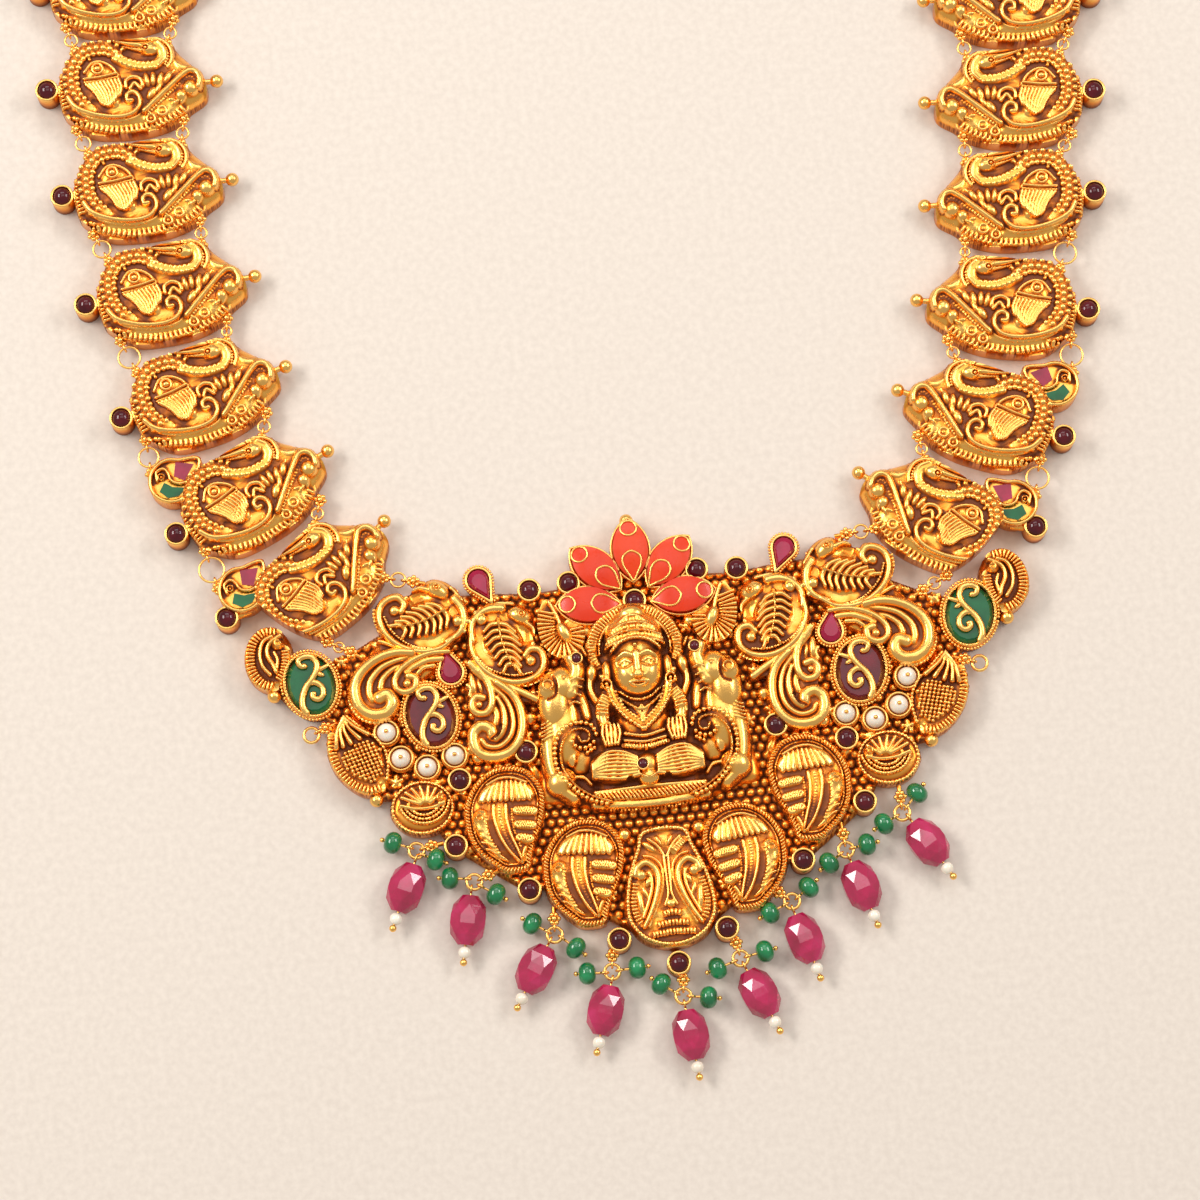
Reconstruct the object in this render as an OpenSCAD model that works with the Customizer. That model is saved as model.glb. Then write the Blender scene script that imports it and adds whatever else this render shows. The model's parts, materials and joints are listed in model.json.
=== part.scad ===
// Temple jewellery necklace: cast peacock links, a large deity pendant and bead drops.
// It lies on its flat back. The origin is the middle of the pendant's back, +Y runs up the
// pendant to the coral flower and +Z is out of its face. All lengths are millimetres.

/* [Pendant] */
// Width on which the places of the pendant's ornaments are shared out
pendant_w = 130; // [128:0.5:134]
// Thickness of the web that all ornaments are soldered to
web_h = 1.2; // [0.8:0.1:1.6]
// Height of the ornaments' plain walls
plaque_h = 4.2; // [3.8:0.1:4.8]
// Height that cast relief stands above its wall
relief_h = 1.2; // [0.8:0.1:1.6]
// Length of a mango plaque
mango_l = 15.8; // [15.2:0.1:16.2]
// Width of a mango plaque
mango_w = 12.8; // [12.4:0.1:13.2]
// Length of the shield below the deity
shield_l = 20.8; // [20:0.1:21.4]
// Width of the shield at its foot
shield_w = 15.2; // [14.6:0.1:15.6]
// Length of a leaf plaque's oval
leaf_l = 14.6; // [14:0.1:15]
// Width of a leaf plaque's oval
leaf_w = 12.4; // [12:0.1:12.8]
// Width of the ridge along a leaf plaque's scrolled arm
scroll_w = 1.6; // [1.3:0.1:1.8]
// Width of the plaque with the deity and the two elephants
deity_w = 37; // [36:0.1:38]
// Length of the deity's plaque
deity_l = 35; // [34:0.1:35.6]
// Diameter of a plain gold ball between ornaments
ball_d = 2.3; // [2:0.1:2.5]

/* [Links] */
// Length of a cast link across the band
link_w = 24.6; // [24:0.1:25.2]
// Width of a cast link along the band
link_h = 16.4; // [16:0.1:16.8]
// Height of a link's plain wall
link_wall_h = 3.6; // [3.2:0.1:4]
// Height of a link's lower step of relief
link_step = 0.7; // [0.5:0.1:0.9]
// Length of the kundan accent on the two lowest links of a side
accent_l = 8.8; // [8.4:0.1:9.2]
// Width of the kundan accent
accent_w = 7; // [6.6:0.1:7.4]

/* [Stones] */
// Diameter of a round garnet
garnet_d = 2.9; // [2.6:0.1:3.2]
// Width of the gold wall around a set stone
collet_wall = 0.55; // [0.4:0.05:0.7]
// Free space around a set stone
stone_gap = 0.12; // [0.1:0.01:0.15]
// Depth to which a stone sits in its setting
seat_depth = 1.4; // [1:0.1:1.8]
// Height that a round stone's dome stands out of its setting
dome_h = 0.8; // [0.5:0.1:1]
// Length of a coral petal
petal_l = 10.2; // [9.6:0.1:10.6]
// Width of a coral petal
petal_w = 5.8; // [5.4:0.1:6]
// Length of a pear ruby
pear_l = 5.4; // [5:0.1:5.8]
// Width of a pear ruby
pear_w = 3.4; // [3:0.1:3.6]
// Length of an oval doublet
oval_l = 10; // [9.6:0.1:10.4]
// Width of an oval doublet
oval_w = 7.8; // [7.4:0.1:8.2]
// Diameter of a set pearl
pearl_d = 3.1; // [2.9:0.1:3.3]

/* [Drops] */
// Length of a drop ruby
ruby_l = 8.2; // [7.8:0.1:8.6]
// Width of a drop ruby
ruby_w = 6.2; // [5.8:0.1:6.4]
// Thickness of a drop ruby
ruby_t = 4.8; // [4.4:0.1:5]
// Diameter of an emerald bead
emerald_d = 3.7; // [3.4:0.1:3.9]
// Length of an emerald bead along its bore
emerald_t = 2.8; // [2.5:0.1:3]
// Diameter of a drop's pearl
drop_pearl_d = 2.1; // [1.9:0.1:2.3]
// Diameter of a bead's bore
bore_d = 0.75; // [0.7:0.05:0.85]
// Diameter of the pins and of the jump rings' wire
wire_d = 0.4; // [0.35:0.05:0.45]
// Radius of a drop's jump ring to the middle of its wire
drop_ring_r = 1.25; // [1.2:0.05:1.35]

/* [Neck chain] */
// Radius of a chain ring to the middle of its wire
chain_r = 4; // [3.8:0.1:4.4]
// Diameter of the chain's wire
chain_wire_d = 1.5; // [1.3:0.1:1.6]
// Length of the chain's straight stretch above the longer row of links
chain_straight = 30; // [24:1:40]
// Thickness of an end plate
end_plate_t = 1.8; // [1.5:0.1:2.2]
// Diameter of the clasp's barrel
clasp_d = 5; // [4.5:0.1:5.5]
// Length of the clasp's barrel
clasp_l = 11; // [10:0.5:13]

/* [Hidden] */
LEFT = 0;
RIGHT = 1;
// Links in a row
LINKS = 7;
link_names_left = [for (i = [1:7]) str("peacock_link_left_", i)];
link_names_right = [for (i = [1:7]) str("peacock_link_right_", i)];
petal_names = [for (i = [1:5]) str("coral_petal_", i)];
ruby_names = [for (i = [1:9]) str("drop_ruby_", i)];

gold = "goldenrod";
true_fn = 48;
eps = 0.01;

// Places on the pendant's right half as per cent of pendant_w; the left half mirrors them.
// Columns: x, y
GARNETS = [[13.3, 16.8], [8.2, 17.2], [15.9, -3.9], [24.6, -6.6], [25.9, -14.9],
    [17.3, -21.4], [6.8, -28.9]];
// The garnets on the pendant's own axis
AXIS_GARNETS = [[-0.1, 14.0], [0.3, -32.6]];
// Columns: x, y, turn of the pointed end from +Y
PEARS = [[19.3, 18.1, -205], [24.4, 8.0, -10]];
PEARLS = [[33.2, 0.5], [31.7, -3.0], [28.5, -4.5], [24.9, -3.4]];
BALLS = [[46.9, 6.8], [35.3, -7.9], [6.6, 10.8], [22.0, -3.9], [14.9, 0.4], [15.1, -12.0],
    [4.7, -15.7]];
OVAL_RUBY = [27.4, 1.9];
OVAL_GREEN = [42.1, 7.6];
// Columns: x, y, turn
LEAF_INNER = [17.4, 10.4, -6];
LEAF_OUTER = [27.4, 14.3, 60];
MANGO_TOP = [19.9, -11.5, 0];
MANGO_LOW = [10.5, -19.2, 4];
SHELL = [29.7, -9.6, -80];
FISH = [37.2, -2.2, -28];
CONCH = [47.2, 11.2, 12];
FEATHER = [10.8, 11.2, -32];
TRUNK = [7.5, 6.7];
DEITY = [-0.8, 0];
SHIELD = [0.2, -22.3];
// The flat arms that sweep down from the leaf ovals, and the ridges along them. Columns: x, y
ARM_INNER = [[17, 8.5], [14.1, 6.6], [13.1, 2.6], [14.8, -0.6], [17.8, -2.9], [21.5, -3.7], [23.5, -1.8],
    [22.8, 1.5], [20.8, 1.2], [19.7, 2], [20.4, 4.6], [19.8, 8]];
ARM_OUTER = [[30, 15], [33.4, 13.4], [35, 11.2], [37.8, 8.7], [38.8, 5], [36.5, 2.3], [33.4, 2.8],
    [32, 6], [29, 7], [26.8, 8.6], [26, 11]];
RIDGE_INNER = [[18, 7], [15.2, 4.6], [15.2, 1], [18, -1.6], [21.4, -1.8], [21.6, 0]];
RIDGE_OUTER = [[30, 11], [33, 10.6], [36, 8.2], [36.8, 5.4], [35.2, 4.2], [34.2, 5.6]];
// Half of the deity plaque's outline as per cent of deity_w and deity_l
DEITY_OUTLINE = [[0, 51], [12, 49], [18, 41], [22, 32], [29, 28], [36, 25], [43, 20], [47, 13], [45, 2],
    [46, -11], [48, -23], [50, -33], [48, -40], [36, -42], [24, -46], [0, -48.5]];
// Columns: x, y, direction of the petal's tip
PETALS = [[0.1, 20.6, 90], [4.8, 18.6, 46], [6.2, 14.0, 5], [-4.6, 18.6, 134], [-6.0, 14.0, 175]];
// Bails on the rim that carry the two lowest links
LINK_BAIL_IN = [28.9, 20.0];
LINK_BAIL_LOW = [37.6, 12.0];
// Arms from the plaques to those bails' feet
BAIL_ARMS = [[[27.2, 19.7], [26.3, 18.1]], [[37.6, 10.6], [37.3, 8.7]]];
// The spare rings at the outer shells' feet. Columns: x, y, direction out
SPARE_BAIL = [41.8, 1.7, -20];
// Outline of the web below the right half, from its top to its foot
WEB = [[0, 20], [4.5, 18.5], [9, 17], [13.5, 16.8], [19, 17.4], [24, 17.6], [29, 16.5], [33, 13.5],
    [38, 11], [42.5, 9.5], [46, 12], [47.5, 8.5], [45, 5], [41, 3.5], [38.5, 0.5], [36.6, -5],
    [35.6, -7.7], [32, -8.1], [29, -10.5], [26.8, -14.6], [22.6, -17.8], [18.2, -21], [13.6, -21.6],
    [8.5, -25.5], [4, -28.6], [0, -31]];

// Drops from the left to the right. Columns: bail x, bail y, direction out of the bail, the ruby's place
// on its ring and its direction, then for each emerald its place on the ring, direction and neck share
DROPS = [
    [-30.0, -14.6, 190, 262, 246, 150, 158, 1, 318, 335, 0],
    [-23.2, -19.2, 199, 242, 258, 150, 172, 1, 320, 326, 1],
    [-14.7, -26.3, 266, 225, 238, 150, 146, 1, 330, 318, 1],
    [-8.0, -31.7, 264, 262, 252, 182, 176, 1, 5, 2, 1],
    [0.5, -35.7, 264, 272, 275, 150, 143, 1, 352, 350, 1],
    [7.9, -31.8, 280, 290, 292, 200, 196, 1, 10, 10, 1],
    [14.6, -25.7, 320, 268, 285, 200, 202, 1, 30, 36, 0],
    [22.8, -19.6, 274, 285, 286, 212, 212, 0, 8, 8, 0],
    [30.5, -15.7, 270, 318, 300, 205, 205, 0, 45, 47, 1]];

// Rows of links, from the pendant upward, as the necklace is laid.
// Columns: turn of the link, reach of its lower inner ring, direction of that ring
ROWS = [
    [[39.5, 2.4, 166], [24.5, 1.9, 72], [13, 2.0, 74], [5, 1.6, 84], [1, 1.9, 89],
     [-1.5, 2.0, 80], [-3, 2.0, 71]],
    [[37, 2.3, 176], [23.5, 1.8, 80], [10.5, 1.9, 74], [2.5, 1.5, 98], [3, 2.1, 92],
     [3.6, 2.2, 83], [4.2, 2.2, 78]]];

// Outline and ornaments of a left link as per cent of link_w and link_h
LINK_OUTLINE = [[-50, 20], [-50, -18], [-42, -33], [-33, -44], [-20, -49], [8, -49], [29, -40],
    [38, -28], [50, -15], [50, 5], [42, 22], [32, 38], [29, 47], [20, 51], [-9, 51], [-30, 51],
    [-35, 46], [-42, 35]];
// On the lowest link of a row the outline's first points give way to the pendant's shell
LINK_CORNER = [[-42, 20], [-39, -8], [-32, -32], [-22, -45]];
LINK_WING = [[-34, 6], [-30, -10], [-20, -21], [-10, -20], [-4, -4], [-7, 14], [-16, 24], [-27, 20]];
LINK_NECK = [[-38, 8], [-33, 32], [-20, 40], [-6, 30], [4, 20], [16, 20], [24, 30], [18, 40], [8, 39],
    [-6, 47]];
LINK_RIDGE = [[4, -30], [18, -16], [31, 0], [42, 12], [47, 4]];
LINK_RIM = [[-38, -10], [-34, -24], [-22, -32], [-8, -34], [4, -26]];
link_curl_at = [-2, -15];
link_collet_at = [-59, 4];
link_ball_at = [58, 3];
// The accent's middle and the collet beside it, on the two lowest links of a side
accent_at = [-40, 54];
accent_collet_at = [-64, 44];
// Places of the four eyelets
bail_top_in = [26.8, 54];
bail_top_out = [-39.8, 54];
bail_low_in = [32.8, -44.5];
bail_low_out = [-38.6, -46.5];
bail_accent = [-51, 81];
// Above an accent the ring holds the next link further up its side
bail_low_out_accent = [-49, -32];
bail_low_out_last = [-26, -52];

// Half width of an eyelet's opening, its wall and its thickness
eyelet_in = wire_d / 2 + 0.2;
eyelet_wall = 0.35;
eyelet_t = 0.5;
eyelet_r = eyelet_in + eyelet_wall;
// Height of the wires' middle above the surface, which the drops' rubies set
wire_z = ruby_t / 2;
collet_h = plaque_h;
collet_r = garnet_d / 2 + stone_gap + collet_wall;
link_top = link_wall_h + link_step;
garnet_seat = collet_h - seat_depth;

// Small geometry helpers
function at(p) = [p.x, p.y] * pendant_w / 100;
function dir(a) = [cos(a), sin(a)];
function turned(p, a) = [p.x * cos(a) - p.y * sin(a), p.x * sin(a) + p.y * cos(a)];
function shares(pts, w, l) = [for (p = pts) [p.x * w / 100, p.y * l / 100]];
function arc(c, r, a0, a1, n) = [for (i = [0:n]) c + r * dir(a0 + (a1 - a0) * i / n)];
function heading(v) = atan2(v.y, v.x);
function flip(p) = [-p.x, p.y];
function unit(v) = v / norm(v);
function side_of(pts, i) =
    let (a = pts[max(i - 1, 0)], b = pts[min(i + 1, len(pts) - 1)], v = unit(b - a)) [-v.y, v.x];
function ribbon(pts, w0, w1) =
    let (n = len(pts) - 1)
    concat([for (i = [0:n]) pts[i] + side_of(pts, i) * (w0 + (w1 - w0) * i / n) / 2],
        [for (i = [n:-1:0]) pts[i] - side_of(pts, i) * (w0 + (w1 - w0) * i / n) / 2]);

module on_side(s) {
    if (s == RIGHT) mirror([1, 0, 0]) children();
    else children();
}

module both_halves() {
    children();
    mirror([1, 0, 0]) children();
}

module place(spot) {
    translate(at(spot)) rotate(spot[2]) children();
}

// A flat tier of relief, from the back up to height h
module tier(pts, h) {
    linear_extrude(h) polygon(pts);
}

// A low mound: an oval of w by l that rises from z0 to z1
module mound(w, l, z0, z1, n = 8) {
    hull() {
        scale([w / l, 1, 1]) cylinder(d = l, h = z0, $fn = n);
        scale([w / l, 1, 1]) cylinder(d = l * 0.55, h = z1, $fn = n);
    }
}

// A stud of diameter d whose rounded top is at height h
module stud(d, h, n = 8) {
    mound(d, d, h - d * 0.3, h, n);
}

// A cabochon of diameter d: a straight girdle and a domed top, flat below
module cabochon(d, girdle, dome) {
    dome_r = (pow(d / 2, 2) + dome * dome) / (2 * dome);
    rotate_extrude($fn = true_fn) union() {
        square([d / 2, girdle]);
        intersection() {
            translate([0, girdle + dome - dome_r]) circle(dome_r, $fn = 4 * true_fn);
            translate([0, girdle - eps]) square([d / 2, dome + 2 * eps]);
        }
    }
}

// An eyelet in the plane of +X and Z, standing on its stem that points back along -X
module eyelet(stem, n = true_fn) {
    translate([0, eyelet_t / 2, wire_z]) rotate([90, 0, 0]) linear_extrude(eyelet_t) difference() {
        circle(eyelet_r, $fn = n);
        circle(eyelet_in / cos(180 / n), $fn = n);
    }
    translate([-stem - eyelet_in - eyelet_wall / 2, -eyelet_t / 2, wire_z - eyelet_t])
        cube([stem, eyelet_t, 2 * eyelet_t]);
}

// A round ring of wire that passes through the points p and q
module jump_ring(p, q) {
    translate([(p.x + q.x) / 2, (p.y + q.y) / 2, wire_z]) rotate_extrude($fn = true_fn)
        translate([norm(q - p) / 2, 0]) circle(d = wire_d, $fn = true_fn);
}

// Outlines of the set stones and of their settings; grow widens them all round
function marquise(l, w, grow) =
    let (r = (l * l / 4 + w * w / 4) / w, a = asin(l / 2 / r), e = r + grow, b = acos((r - w / 2) / e))
    concat(arc([w / 2 - r, 0], e, -b, b, 6), arc([r - w / 2, 0], e, 180 - b * 2 / 3, 180 + b * 2 / 3, 4));
function pear(l, w, grow, n = 8) =
    let (r = w / 2 + grow, y0 = -l / 2 + w / 2, tip = l / 2 + grow * 2.2,
        a = asin(r / (tip - y0)))
    concat(arc([0, y0], r, 180 - a, 360 + a, n), [[0, tip]]);
function oval(l, w, grow, n = 16) =
    [for (i = [0:n - 1]) [(w / 2 + grow) * cos(360 * i / n), (l / 2 + grow) * sin(360 * i / n)]];
function mango(l, w) = shares([[-50, 15], [-46, 30], [-34, 42], [-16, 49], [4, 50], [24, 46], [38, 36],
    [48, 18], [50, 2], [46, -20], [38, -36], [24, -48], [8, -50], [-10, -46], [-30, -34], [-44, -14]], w, l);

// Where a row's links lie, worked out from the pendant upward in the left half's frame
function bail_point(pose, bail) = [pose.x, pose.y]
    + turned([bail.x * link_w / 100, bail.y * link_h / 100], pose[2]);
function link_pose(s, k) =
    let (row = ROWS[s][k], below = k == 0 ? flip(at(LINK_BAIL_IN))
            : bail_point(link_pose(s, k - 1), bail_top_in),
        hook = below + row[1] * dir(row[2]),
        offset = turned([bail_low_in.x * link_w / 100, bail_low_in.y * link_h / 100], row[0]))
    [hook.x - offset.x, hook.y - offset.y, row[0]];
function has_accent(k) = k < 2;
function top_out(k) = has_accent(k) ? bail_accent : bail_top_out;
function low_out(k) = k == 0 ? bail_low_out_last : has_accent(k - 1) ? bail_low_out_accent : bail_low_out;
// The two ends of a ring below link k, or above the last link, on the row's inner or outer side
function lower_end(s, k, side) = k == 0 ? flip(at(side == 0 ? LINK_BAIL_IN : LINK_BAIL_LOW))
    : bail_point(link_pose(s, k - 1), side == 0 ? bail_top_in : top_out(k - 1));
function upper_end(s, k, side) = k == LINKS ? plate_hook(s, side)
    : bail_point(link_pose(s, k), side == 0 ? bail_low_in : low_out(k));
function ring_heading(s, k, side) = heading(upper_end(s, k, side) - lower_end(s, k, side));
function link_outline(k) = k > 0 ? LINK_OUTLINE
    : concat(LINK_CORNER, [for (i = [5:len(LINK_OUTLINE) - 1]) LINK_OUTLINE[i]]);
function collet_spot(k) = shares([k == 0 ? accent_collet_at : link_collet_at], link_w, link_h)[0];

module at_link(s, k) {
    pose = link_pose(s, k);
    on_side(s) translate([pose.x, pose.y]) rotate(pose[2]) children();
}

function accent_outline(grow) = concat(
    arc([-accent_l * 0.1, 0], accent_w / 2 + grow, 50, 325, 11), [[accent_l * 0.56 + grow, accent_w * 0.13]]);
function accent_ruby(grow) = shares([[-2, 8], [12, -14], [42, 10], [14, 36]], accent_l, accent_w)
    + [for (d = [[-1, 0], [0, -1], [1, 0], [0, 1]]) d * grow];
function accent_emerald(grow) = shares([[-40, -8], [-32, -32], [-12, -40], [8, -32], [-14, -14], [-24, 6]],
    accent_l, accent_w) + [for (d = [[-1, 0], [-1, -1], [0, -1], [1, 0], [1, 1], [0, 1]]) d * grow];

// One cast link of row s in its own frame; k counts from the pendant
module peacock_link(s, k) {
    outline = shares(link_outline(k), link_w, link_h);
    turn = link_pose(s, k)[2];
    spot = collet_spot(k);
    ball_spot = shares([link_ball_at], link_w, link_h)[0];
    accent = shares([accent_at], link_w, link_h)[0];
    curl = shares([link_curl_at], link_w, link_h)[0];
    rib = link_w * 0.05;
    color(gold) difference() {
        union() {
            tier(outline, link_wall_h);
            scale([0.86, 0.84, 1]) tier(outline, link_top);
            tier(shares(LINK_WING, link_w, link_h), link_top + relief_h);
            tier(ribbon(shares(LINK_NECK, link_w, link_h), rib * 2, rib), link_top + relief_h * 0.8);
            tier(ribbon(shares(LINK_RIDGE, link_w, link_h), rib, rib), link_top + relief_h * 0.7);
            tier(ribbon(shares(LINK_RIM, link_w, link_h), rib * 0.8, rib * 0.8), link_top + relief_h / 2);
            translate(curl) cylinder(r = link_h * 0.12, h = link_top + relief_h * 0.6, $fn = true_fn);
            translate(spot) cylinder(r = collet_r, h = collet_h, $fn = true_fn);
            tier(ribbon([spot, spot * 0.78], rib, rib), link_wall_h * 0.8);
            translate([ball_spot.x, ball_spot.y, wire_z]) sphere(d = ball_d, $fn = true_fn);
            translate([ball_spot.x, ball_spot.y, wire_z]) rotate([0, -90, 0])
                cylinder(d = ball_d * 0.4, h = ball_spot.x - link_w * 0.48, $fn = true_fn);
            link_eyelet(bail_top_in, ring_heading(s, k + 1, 0) - turn);
            link_eyelet(top_out(k), ring_heading(s, k + 1, 1) - turn);
            link_eyelet(bail_low_in, ring_heading(s, k, 0) + 180 - turn);
            link_eyelet(low_out(k), ring_heading(s, k, 1) + 180 - turn);
            if (has_accent(k)) translate(accent) {
                tier(accent_outline(collet_wall), plaque_h);
            }
        }
        translate([spot.x, spot.y, garnet_seat])
            cylinder(r = garnet_d / 2 + stone_gap, h = collet_h, $fn = true_fn);
        if (has_accent(k)) translate([accent.x, accent.y, plaque_h - seat_depth]) {
            tier(accent_ruby(stone_gap), plaque_h);
            tier(accent_emerald(stone_gap), plaque_h);
        }
    }
}

// An eyelet in direction a, with an arm from its foot into the link
module link_eyelet(bail, a) {
    spot = shares([bail], link_w, link_h)[0];
    foot = spot - dir(a) * (eyelet_r + eyelet_t);
    translate(spot) rotate(a) eyelet(link_h * 0.1);
    tier(ribbon([foot, foot - unit(foot) * link_h * 0.15], wire_d * 3, wire_d * 3), wire_z + eyelet_t);
}

module link_garnets() {
    color("darkred") for (s = [LEFT, RIGHT], k = [0:6])
        at_link(s, k) translate([collet_spot(k).x, collet_spot(k).y, garnet_seat])
            cabochon(garnet_d, seat_depth, dome_h);
}

module accents(pts, paint) {
    color(paint) for (s = [LEFT, RIGHT], k = [0, 1]) at_link(s, k)
        translate(shares([accent_at], link_w, link_h)[0]) translate([0, 0, plaque_h - seat_depth])
            tier(pts, seat_depth);
}

// Rings between the links, and between the lowest links and the pendant's bails
module jump_rings() {
    color(gold) for (s = [LEFT, RIGHT], k = [0:LINKS], side = [0, 1]) on_side(s)
        jump_ring(lower_end(s, k, side), upper_end(s, k, side));
}

// The plain plate above the last link: its two lower hooks stand one ring away from the link's eyelets
plate_ring = 2.2;
plate_l = link_h * 0.6;
function plate_hook(s, side) =
    let (pose = link_pose(s, 6))
    bail_point(pose, side == 0 ? bail_top_in : bail_top_out) + plate_ring * dir(pose[2] + 90);
function plate_top(s) =
    let (pose = link_pose(s, 6))
    (plate_hook(s, 0) + plate_hook(s, 1)) / 2 + (plate_l + eyelet_r) * dir(pose[2] + 90);

module end_plate(s) {
    a = link_pose(s, 6)[2];
    low = [for (side = [0, 1]) plate_hook(s, side) + eyelet_r * dir(a + 90)];
    top = plate_top(s);
    half = dir(a) * plate_l * 0.2;
    out = dir(a) * plate_l * 0.15;
    rise = dir(a + 90) * plate_l * 0.15;
    hole = chain_hole_r;
    color(gold) on_side(s) union() {
        translate([0, 0, wire_z - end_plate_t / 2]) linear_extrude(end_plate_t) polygon([
            low[0] + out, low[1] - out, low[1] - out + rise, top - half, top + half, low[0] + out + rise]);
        for (side = [0, 1]) translate(plate_hook(s, side)) rotate(ring_heading(s, LINKS, side) + 180)
            eyelet(plate_l * 0.12);
        translate([top.x, top.y + hole, chain_z]) rotate([90, 0, 90]) translate([0, 0, -plate_loop_t / 2])
            linear_extrude(plate_loop_t) difference() {
                circle(hole + plate_loop_t, $fn = true_fn);
                circle(hole, $fn = true_fn);
            }
    }
}

// The neck chain runs straight up from each plate and round a half circle to the clasp at its top
chain_hole_r = chain_wire_d / 2 + 1.05;
plate_loop_t = 0.9;
chain_z = chain_r * sin(45) + chain_wire_d / 2;
chain_x = (plate_top(RIGHT).x + plate_top(LEFT).x) / 2;
chain_low = [for (s = [LEFT, RIGHT]) plate_top(s) + [0, chain_hole_r]];
chain_radius = -chain_x;
chain_turn_y = max(chain_low[LEFT].y, chain_low[RIGHT].y) + chain_straight;
chain_max_pitch = 2 * chain_r - chain_wire_d - 0.25;
clasp_wire_d = 0.7;
clasp_loop_r = chain_wire_d / 2 + 1.4;
clasp_half = clasp_l / 2 + clasp_loop_r + 0.2;
function chain_start(s) = chain_low[s] + [0, chain_r];
function chain_end_s(s) = chain_turn_y - chain_start(s).y
    + chain_radius * PI / 2 - clasp_half - chain_r;
function chain_count(s) = ceil(chain_end_s(s) / chain_max_pitch);
function chain_shift(s, y) =
    let (f = (y - chain_start(s).y) / (chain_turn_y - chain_start(s).y))
    (chain_x - chain_start(s).x) * min(max(f, 0), 1);
function chain_spot(s, d) =
    let (rise = chain_turn_y - chain_start(s).y, a = (d - rise) / chain_radius * 180 / PI)
    d < rise ? [chain_start(s).x + chain_shift(s, chain_start(s).y + d), chain_start(s).y + d, 90]
        : [chain_x + chain_radius * (1 - cos(a)), chain_turn_y + chain_radius * sin(a), 90 - a];

module back_chain(s) {
    n = chain_count(s);
    pitch = chain_end_s(s) / n;
    color(gold) on_side(s) for (i = [0:n]) {
        spot = chain_spot(s, pitch * i);
        translate([spot.x, spot.y, chain_z]) rotate(spot[2]) rotate([i % 2 == 0 ? 45 : -45, 0, 0])
            rotate_extrude($fn = true_fn) translate([chain_r, 0]) circle(d = chain_wire_d, $fn = true_fn);
    }
}

// A plain barrel clasp: its two end loops hold the last chain rings
module clasp() {
    y = chain_turn_y + chain_radius;
    color(gold) translate([0, y, chain_z]) union() {
        translate([-clasp_l / 2, 0, 0]) rotate([0, 90, 0]) cylinder(d = clasp_d, h = clasp_l, $fn = true_fn);
        for (e = [-1, 1]) translate([e * clasp_half, 0, 0]) rotate([90, 0, 0]) rotate_extrude($fn = true_fn)
            translate([clasp_loop_r, 0]) circle(d = clasp_wire_d, $fn = true_fn);
    }
}

// Settings: a wall around each stone, all cut to the stone's seat afterwards
module settings(grow, h) {
    n = 8;
    open_r = (garnet_d / 2 + stone_gap) / cos(180 / n);
    both_halves() {
        for (g = GARNETS) translate(at(g)) cylinder(r = open_r + grow, h = h, $fn = n);
        for (p = PEARS) place(p) tier(pear(pear_l, pear_w, stone_gap + grow), h);
        for (p = PEARLS) translate(at(p))
            cylinder(r = (pearl_d / 2 + stone_gap) / cos(180 / n) + grow, h = h, $fn = n);
        for (o = [OVAL_RUBY, OVAL_GREEN]) translate(at(o)) rotate(-12)
            tier(oval(oval_l, oval_w, stone_gap + grow), h);
    }
    for (g = AXIS_GARNETS) translate(at(g)) cylinder(r = open_r + grow, h = h, $fn = n);
    for (p = PETALS) translate(at(p)) rotate(p[2] - 90)
        tier(marquise(petal_l, petal_w, stone_gap + grow), h);
}

module mango_plaque() {
    outline = mango(mango_l, mango_w);
    tier(outline, plaque_h - 0.6);
    difference() {
        tier(outline, plaque_h);
        translate([0, 0, plaque_h - 0.5]) scale([0.86, 0.88, 1]) tier(outline, 1);
    }
    translate([0, mango_l * 0.3, 0]) mound(mango_w * 0.66, mango_l * 0.16, plaque_h - 0.3,
        plaque_h + relief_h * 0.7);
    translate([-mango_w * 0.14, mango_l * 0.02, 0]) rotate(20) mound(mango_w * 0.36, mango_l * 0.4,
        plaque_h - 0.3, plaque_h + relief_h);
    tier(ribbon(shares([[10, 16], [16, -8], [22, -36]], mango_w, mango_l), mango_w * 0.18, mango_w * 0.1),
        plaque_h + relief_h * 0.6);
}

module shield_plaque() {
    outline = shares([[-18, 50], [18, 50], [50, -30], [46, -42], [20, -50], [-20, -50], [-46, -42], [-50, -30]],
        shield_w, shield_l);
    tier(outline, plaque_h);
    for (e = [-1, 1]) {
        translate([e * shield_w * 0.2, shield_l * 0.0, 0]) rotate(e * 14) mound(shield_w * 0.3, shield_l * 0.5,
            plaque_h, plaque_h + relief_h);
    }
    translate([0, -shield_l * 0.3, 0]) mound(shield_w * 0.3, shield_l * 0.3, plaque_h, plaque_h + relief_h * 0.6);
}

// The oval with its raised leaf; arms are drawn by the callers in the same frame
module leaf_oval() {
    mound(leaf_w, leaf_l, plaque_h - 0.8, plaque_h, 14);
    translate([-leaf_w * 0.04, -leaf_l * 0.04, 0]) mound(leaf_w * 0.56, leaf_l * 0.7, plaque_h,
        plaque_h + relief_h, 8);
    translate([-leaf_w * 0.24, leaf_l * 0.28, 0]) stud(leaf_w * 0.3, plaque_h + relief_h * 0.5);
    translate([-leaf_w * 0.38, -leaf_l * 0.24, 0]) stud(leaf_w * 0.34, plaque_h + relief_h * 0.8);
}

module leaf_plaques() {
    place(LEAF_INNER) leaf_oval();
    place(LEAF_OUTER) mirror([1, 0, 0]) leaf_oval();
    for (arm = [ARM_INNER, ARM_OUTER]) tier([for (p = arm) at(p)], plaque_h);
    for (t = [RIDGE_INNER, RIDGE_OUTER]) {
        tier(ribbon([for (p = t) at(p)], scroll_w, scroll_w * 0.8), plaque_h + relief_h * 0.6);
        translate(at(t[len(t) - 1])) stud(ball_d, plaque_h + relief_h);
    }
}

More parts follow.
